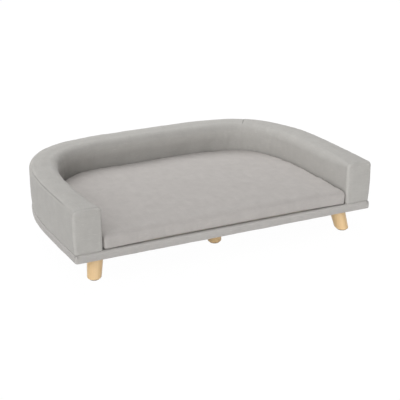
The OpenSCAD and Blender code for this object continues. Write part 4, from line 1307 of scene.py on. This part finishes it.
floor_mesh = bpy.data.meshes.new("floor")
floor_mesh.from_pydata([(-30, -30, 0), (30, -30, 0), (30, 30, 0), (-30, 30, 0)], [], [(0, 1, 2, 3)])
floor = bpy.data.objects.new("floor", floor_mesh)
bpy.context.scene.collection.objects.link(floor)
floor_look = Look("floor_white")
grain = floor_look.noise(floor_look.object_place(), 3.0)
floor_look.finish(floor_look.shade((0.94, 0.94, 0.94), 1 + (grain - 0.5) * 0.01), 0.9, Specular_IOR_Level=0.0)
glow = floor_look.add("ShaderNodeEmission", {"Color": (1.0, 1.0, 1.0), "Strength": seen_white})
floor_mix = floor_look.add("ShaderNodeMixShader", {
    0: seen_directly(floor_look) * 0.965, 1: Signal(floor_look, floor_look.shader.outputs[0]), 2: glow})
floor_look.feed(floor_look.tree.nodes["Material Output"].inputs["Surface"], floor_mix)
floor_mesh.materials.append(floor_look.material)

world = bpy.data.worlds.new("studio")
bpy.context.scene.world = world
sky = Look("studio", world)
seen = seen_directly(sky)
east, north, up = sky.parts(sky.add("ShaderNodeTexCoord", output="Generated"))


def soft_box(azimuth, elevation, power):
    """Light from one side of the sky: the cosine of the angle from its middle, to a power. Azimuth 0 is the front
    and 90 the right."""
    a, e = math.radians(azimuth), math.radians(elevation)
    toward = (math.sin(a) * math.cos(e), -math.cos(a) * math.cos(e), math.sin(e))
    return (east * toward[0] + north * toward[1] + up * toward[2]).most(0.0) ** power


soft_boxes = ((-65, 10, 0.55), (-45, 10, 1.02), (-90, 45, 0.42), (-45, 45, 0.66), (135, 45, 0.70), (180, 45, 0.12))
light = sum(soft_box(azimuth, elevation, 4.0) * strength for azimuth, elevation, strength in soft_boxes)
sky.feed(sky.shader.inputs["Color"], (1.0, 1.0, 1.0))
sky.feed(sky.shader.inputs["Strength"], seen * seen_white + (1 - seen) * light)
print("floor and sky white")

# %% [markdown]
# ## Two lamps
#
# One large lamp high behind the sofa draws a pale edge along the back of the wall. A long low strip in front
# reaches under the base and lights the front faces and the legs, which the sky can't.


# %% Lamps
def lamp(name, place, aim, size, power):
    """A square area lamp that looks at aim. Scaled on one axis it becomes a strip."""
    light = bpy.data.lights.new(name, "AREA")
    light.size, light.energy = size, power
    thing = bpy.data.objects.new(name, light)
    thing.location = place
    thing.rotation_mode = "QUATERNION"
    thing.rotation_quaternion = (thing.location - Vector(aim)).to_track_quat("Z", "Y")
    bpy.context.scene.collection.objects.link(thing)
    return thing


lamp("key_behind", (0.3, 2.2, 2.4), (0, 0, 0.1), 1.8, 44)
lamp("low_front", (0.1, -1.7, 0.035), (0.1, -0.3, 0.035), 0.05, 4.5).scale = (40, 1, 1)
print("two lamps: key_behind and low_front")

# %% [markdown]
# ## The camera
#
# A long lens, from the left of the front and a little above, as in a shop picture. Its place and lens were worked
# out from the edges in the photograph: the line of the deck, the feet and the outline of the wall.


# %% Camera
camera = bpy.data.objects.new("camera", bpy.data.cameras.new("camera"))
camera.data.lens, camera.data.sensor_width = 103.55, 36.0
camera.location = (-1.5360, -3.1450, 1.3872)
aim = Vector((-0.0038, -0.12707, 0.11907))
camera.rotation_mode = "QUATERNION"
camera.rotation_quaternion = (camera.location - aim).to_track_quat("Z", "Y")
camera.data.clip_end = 100
bpy.context.scene.collection.objects.link(camera)
bpy.context.scene.camera = camera
bpy.context.scene.view_settings.view_transform = "Standard"
print("camera", tuple(round(x, 3) for x in camera.location))
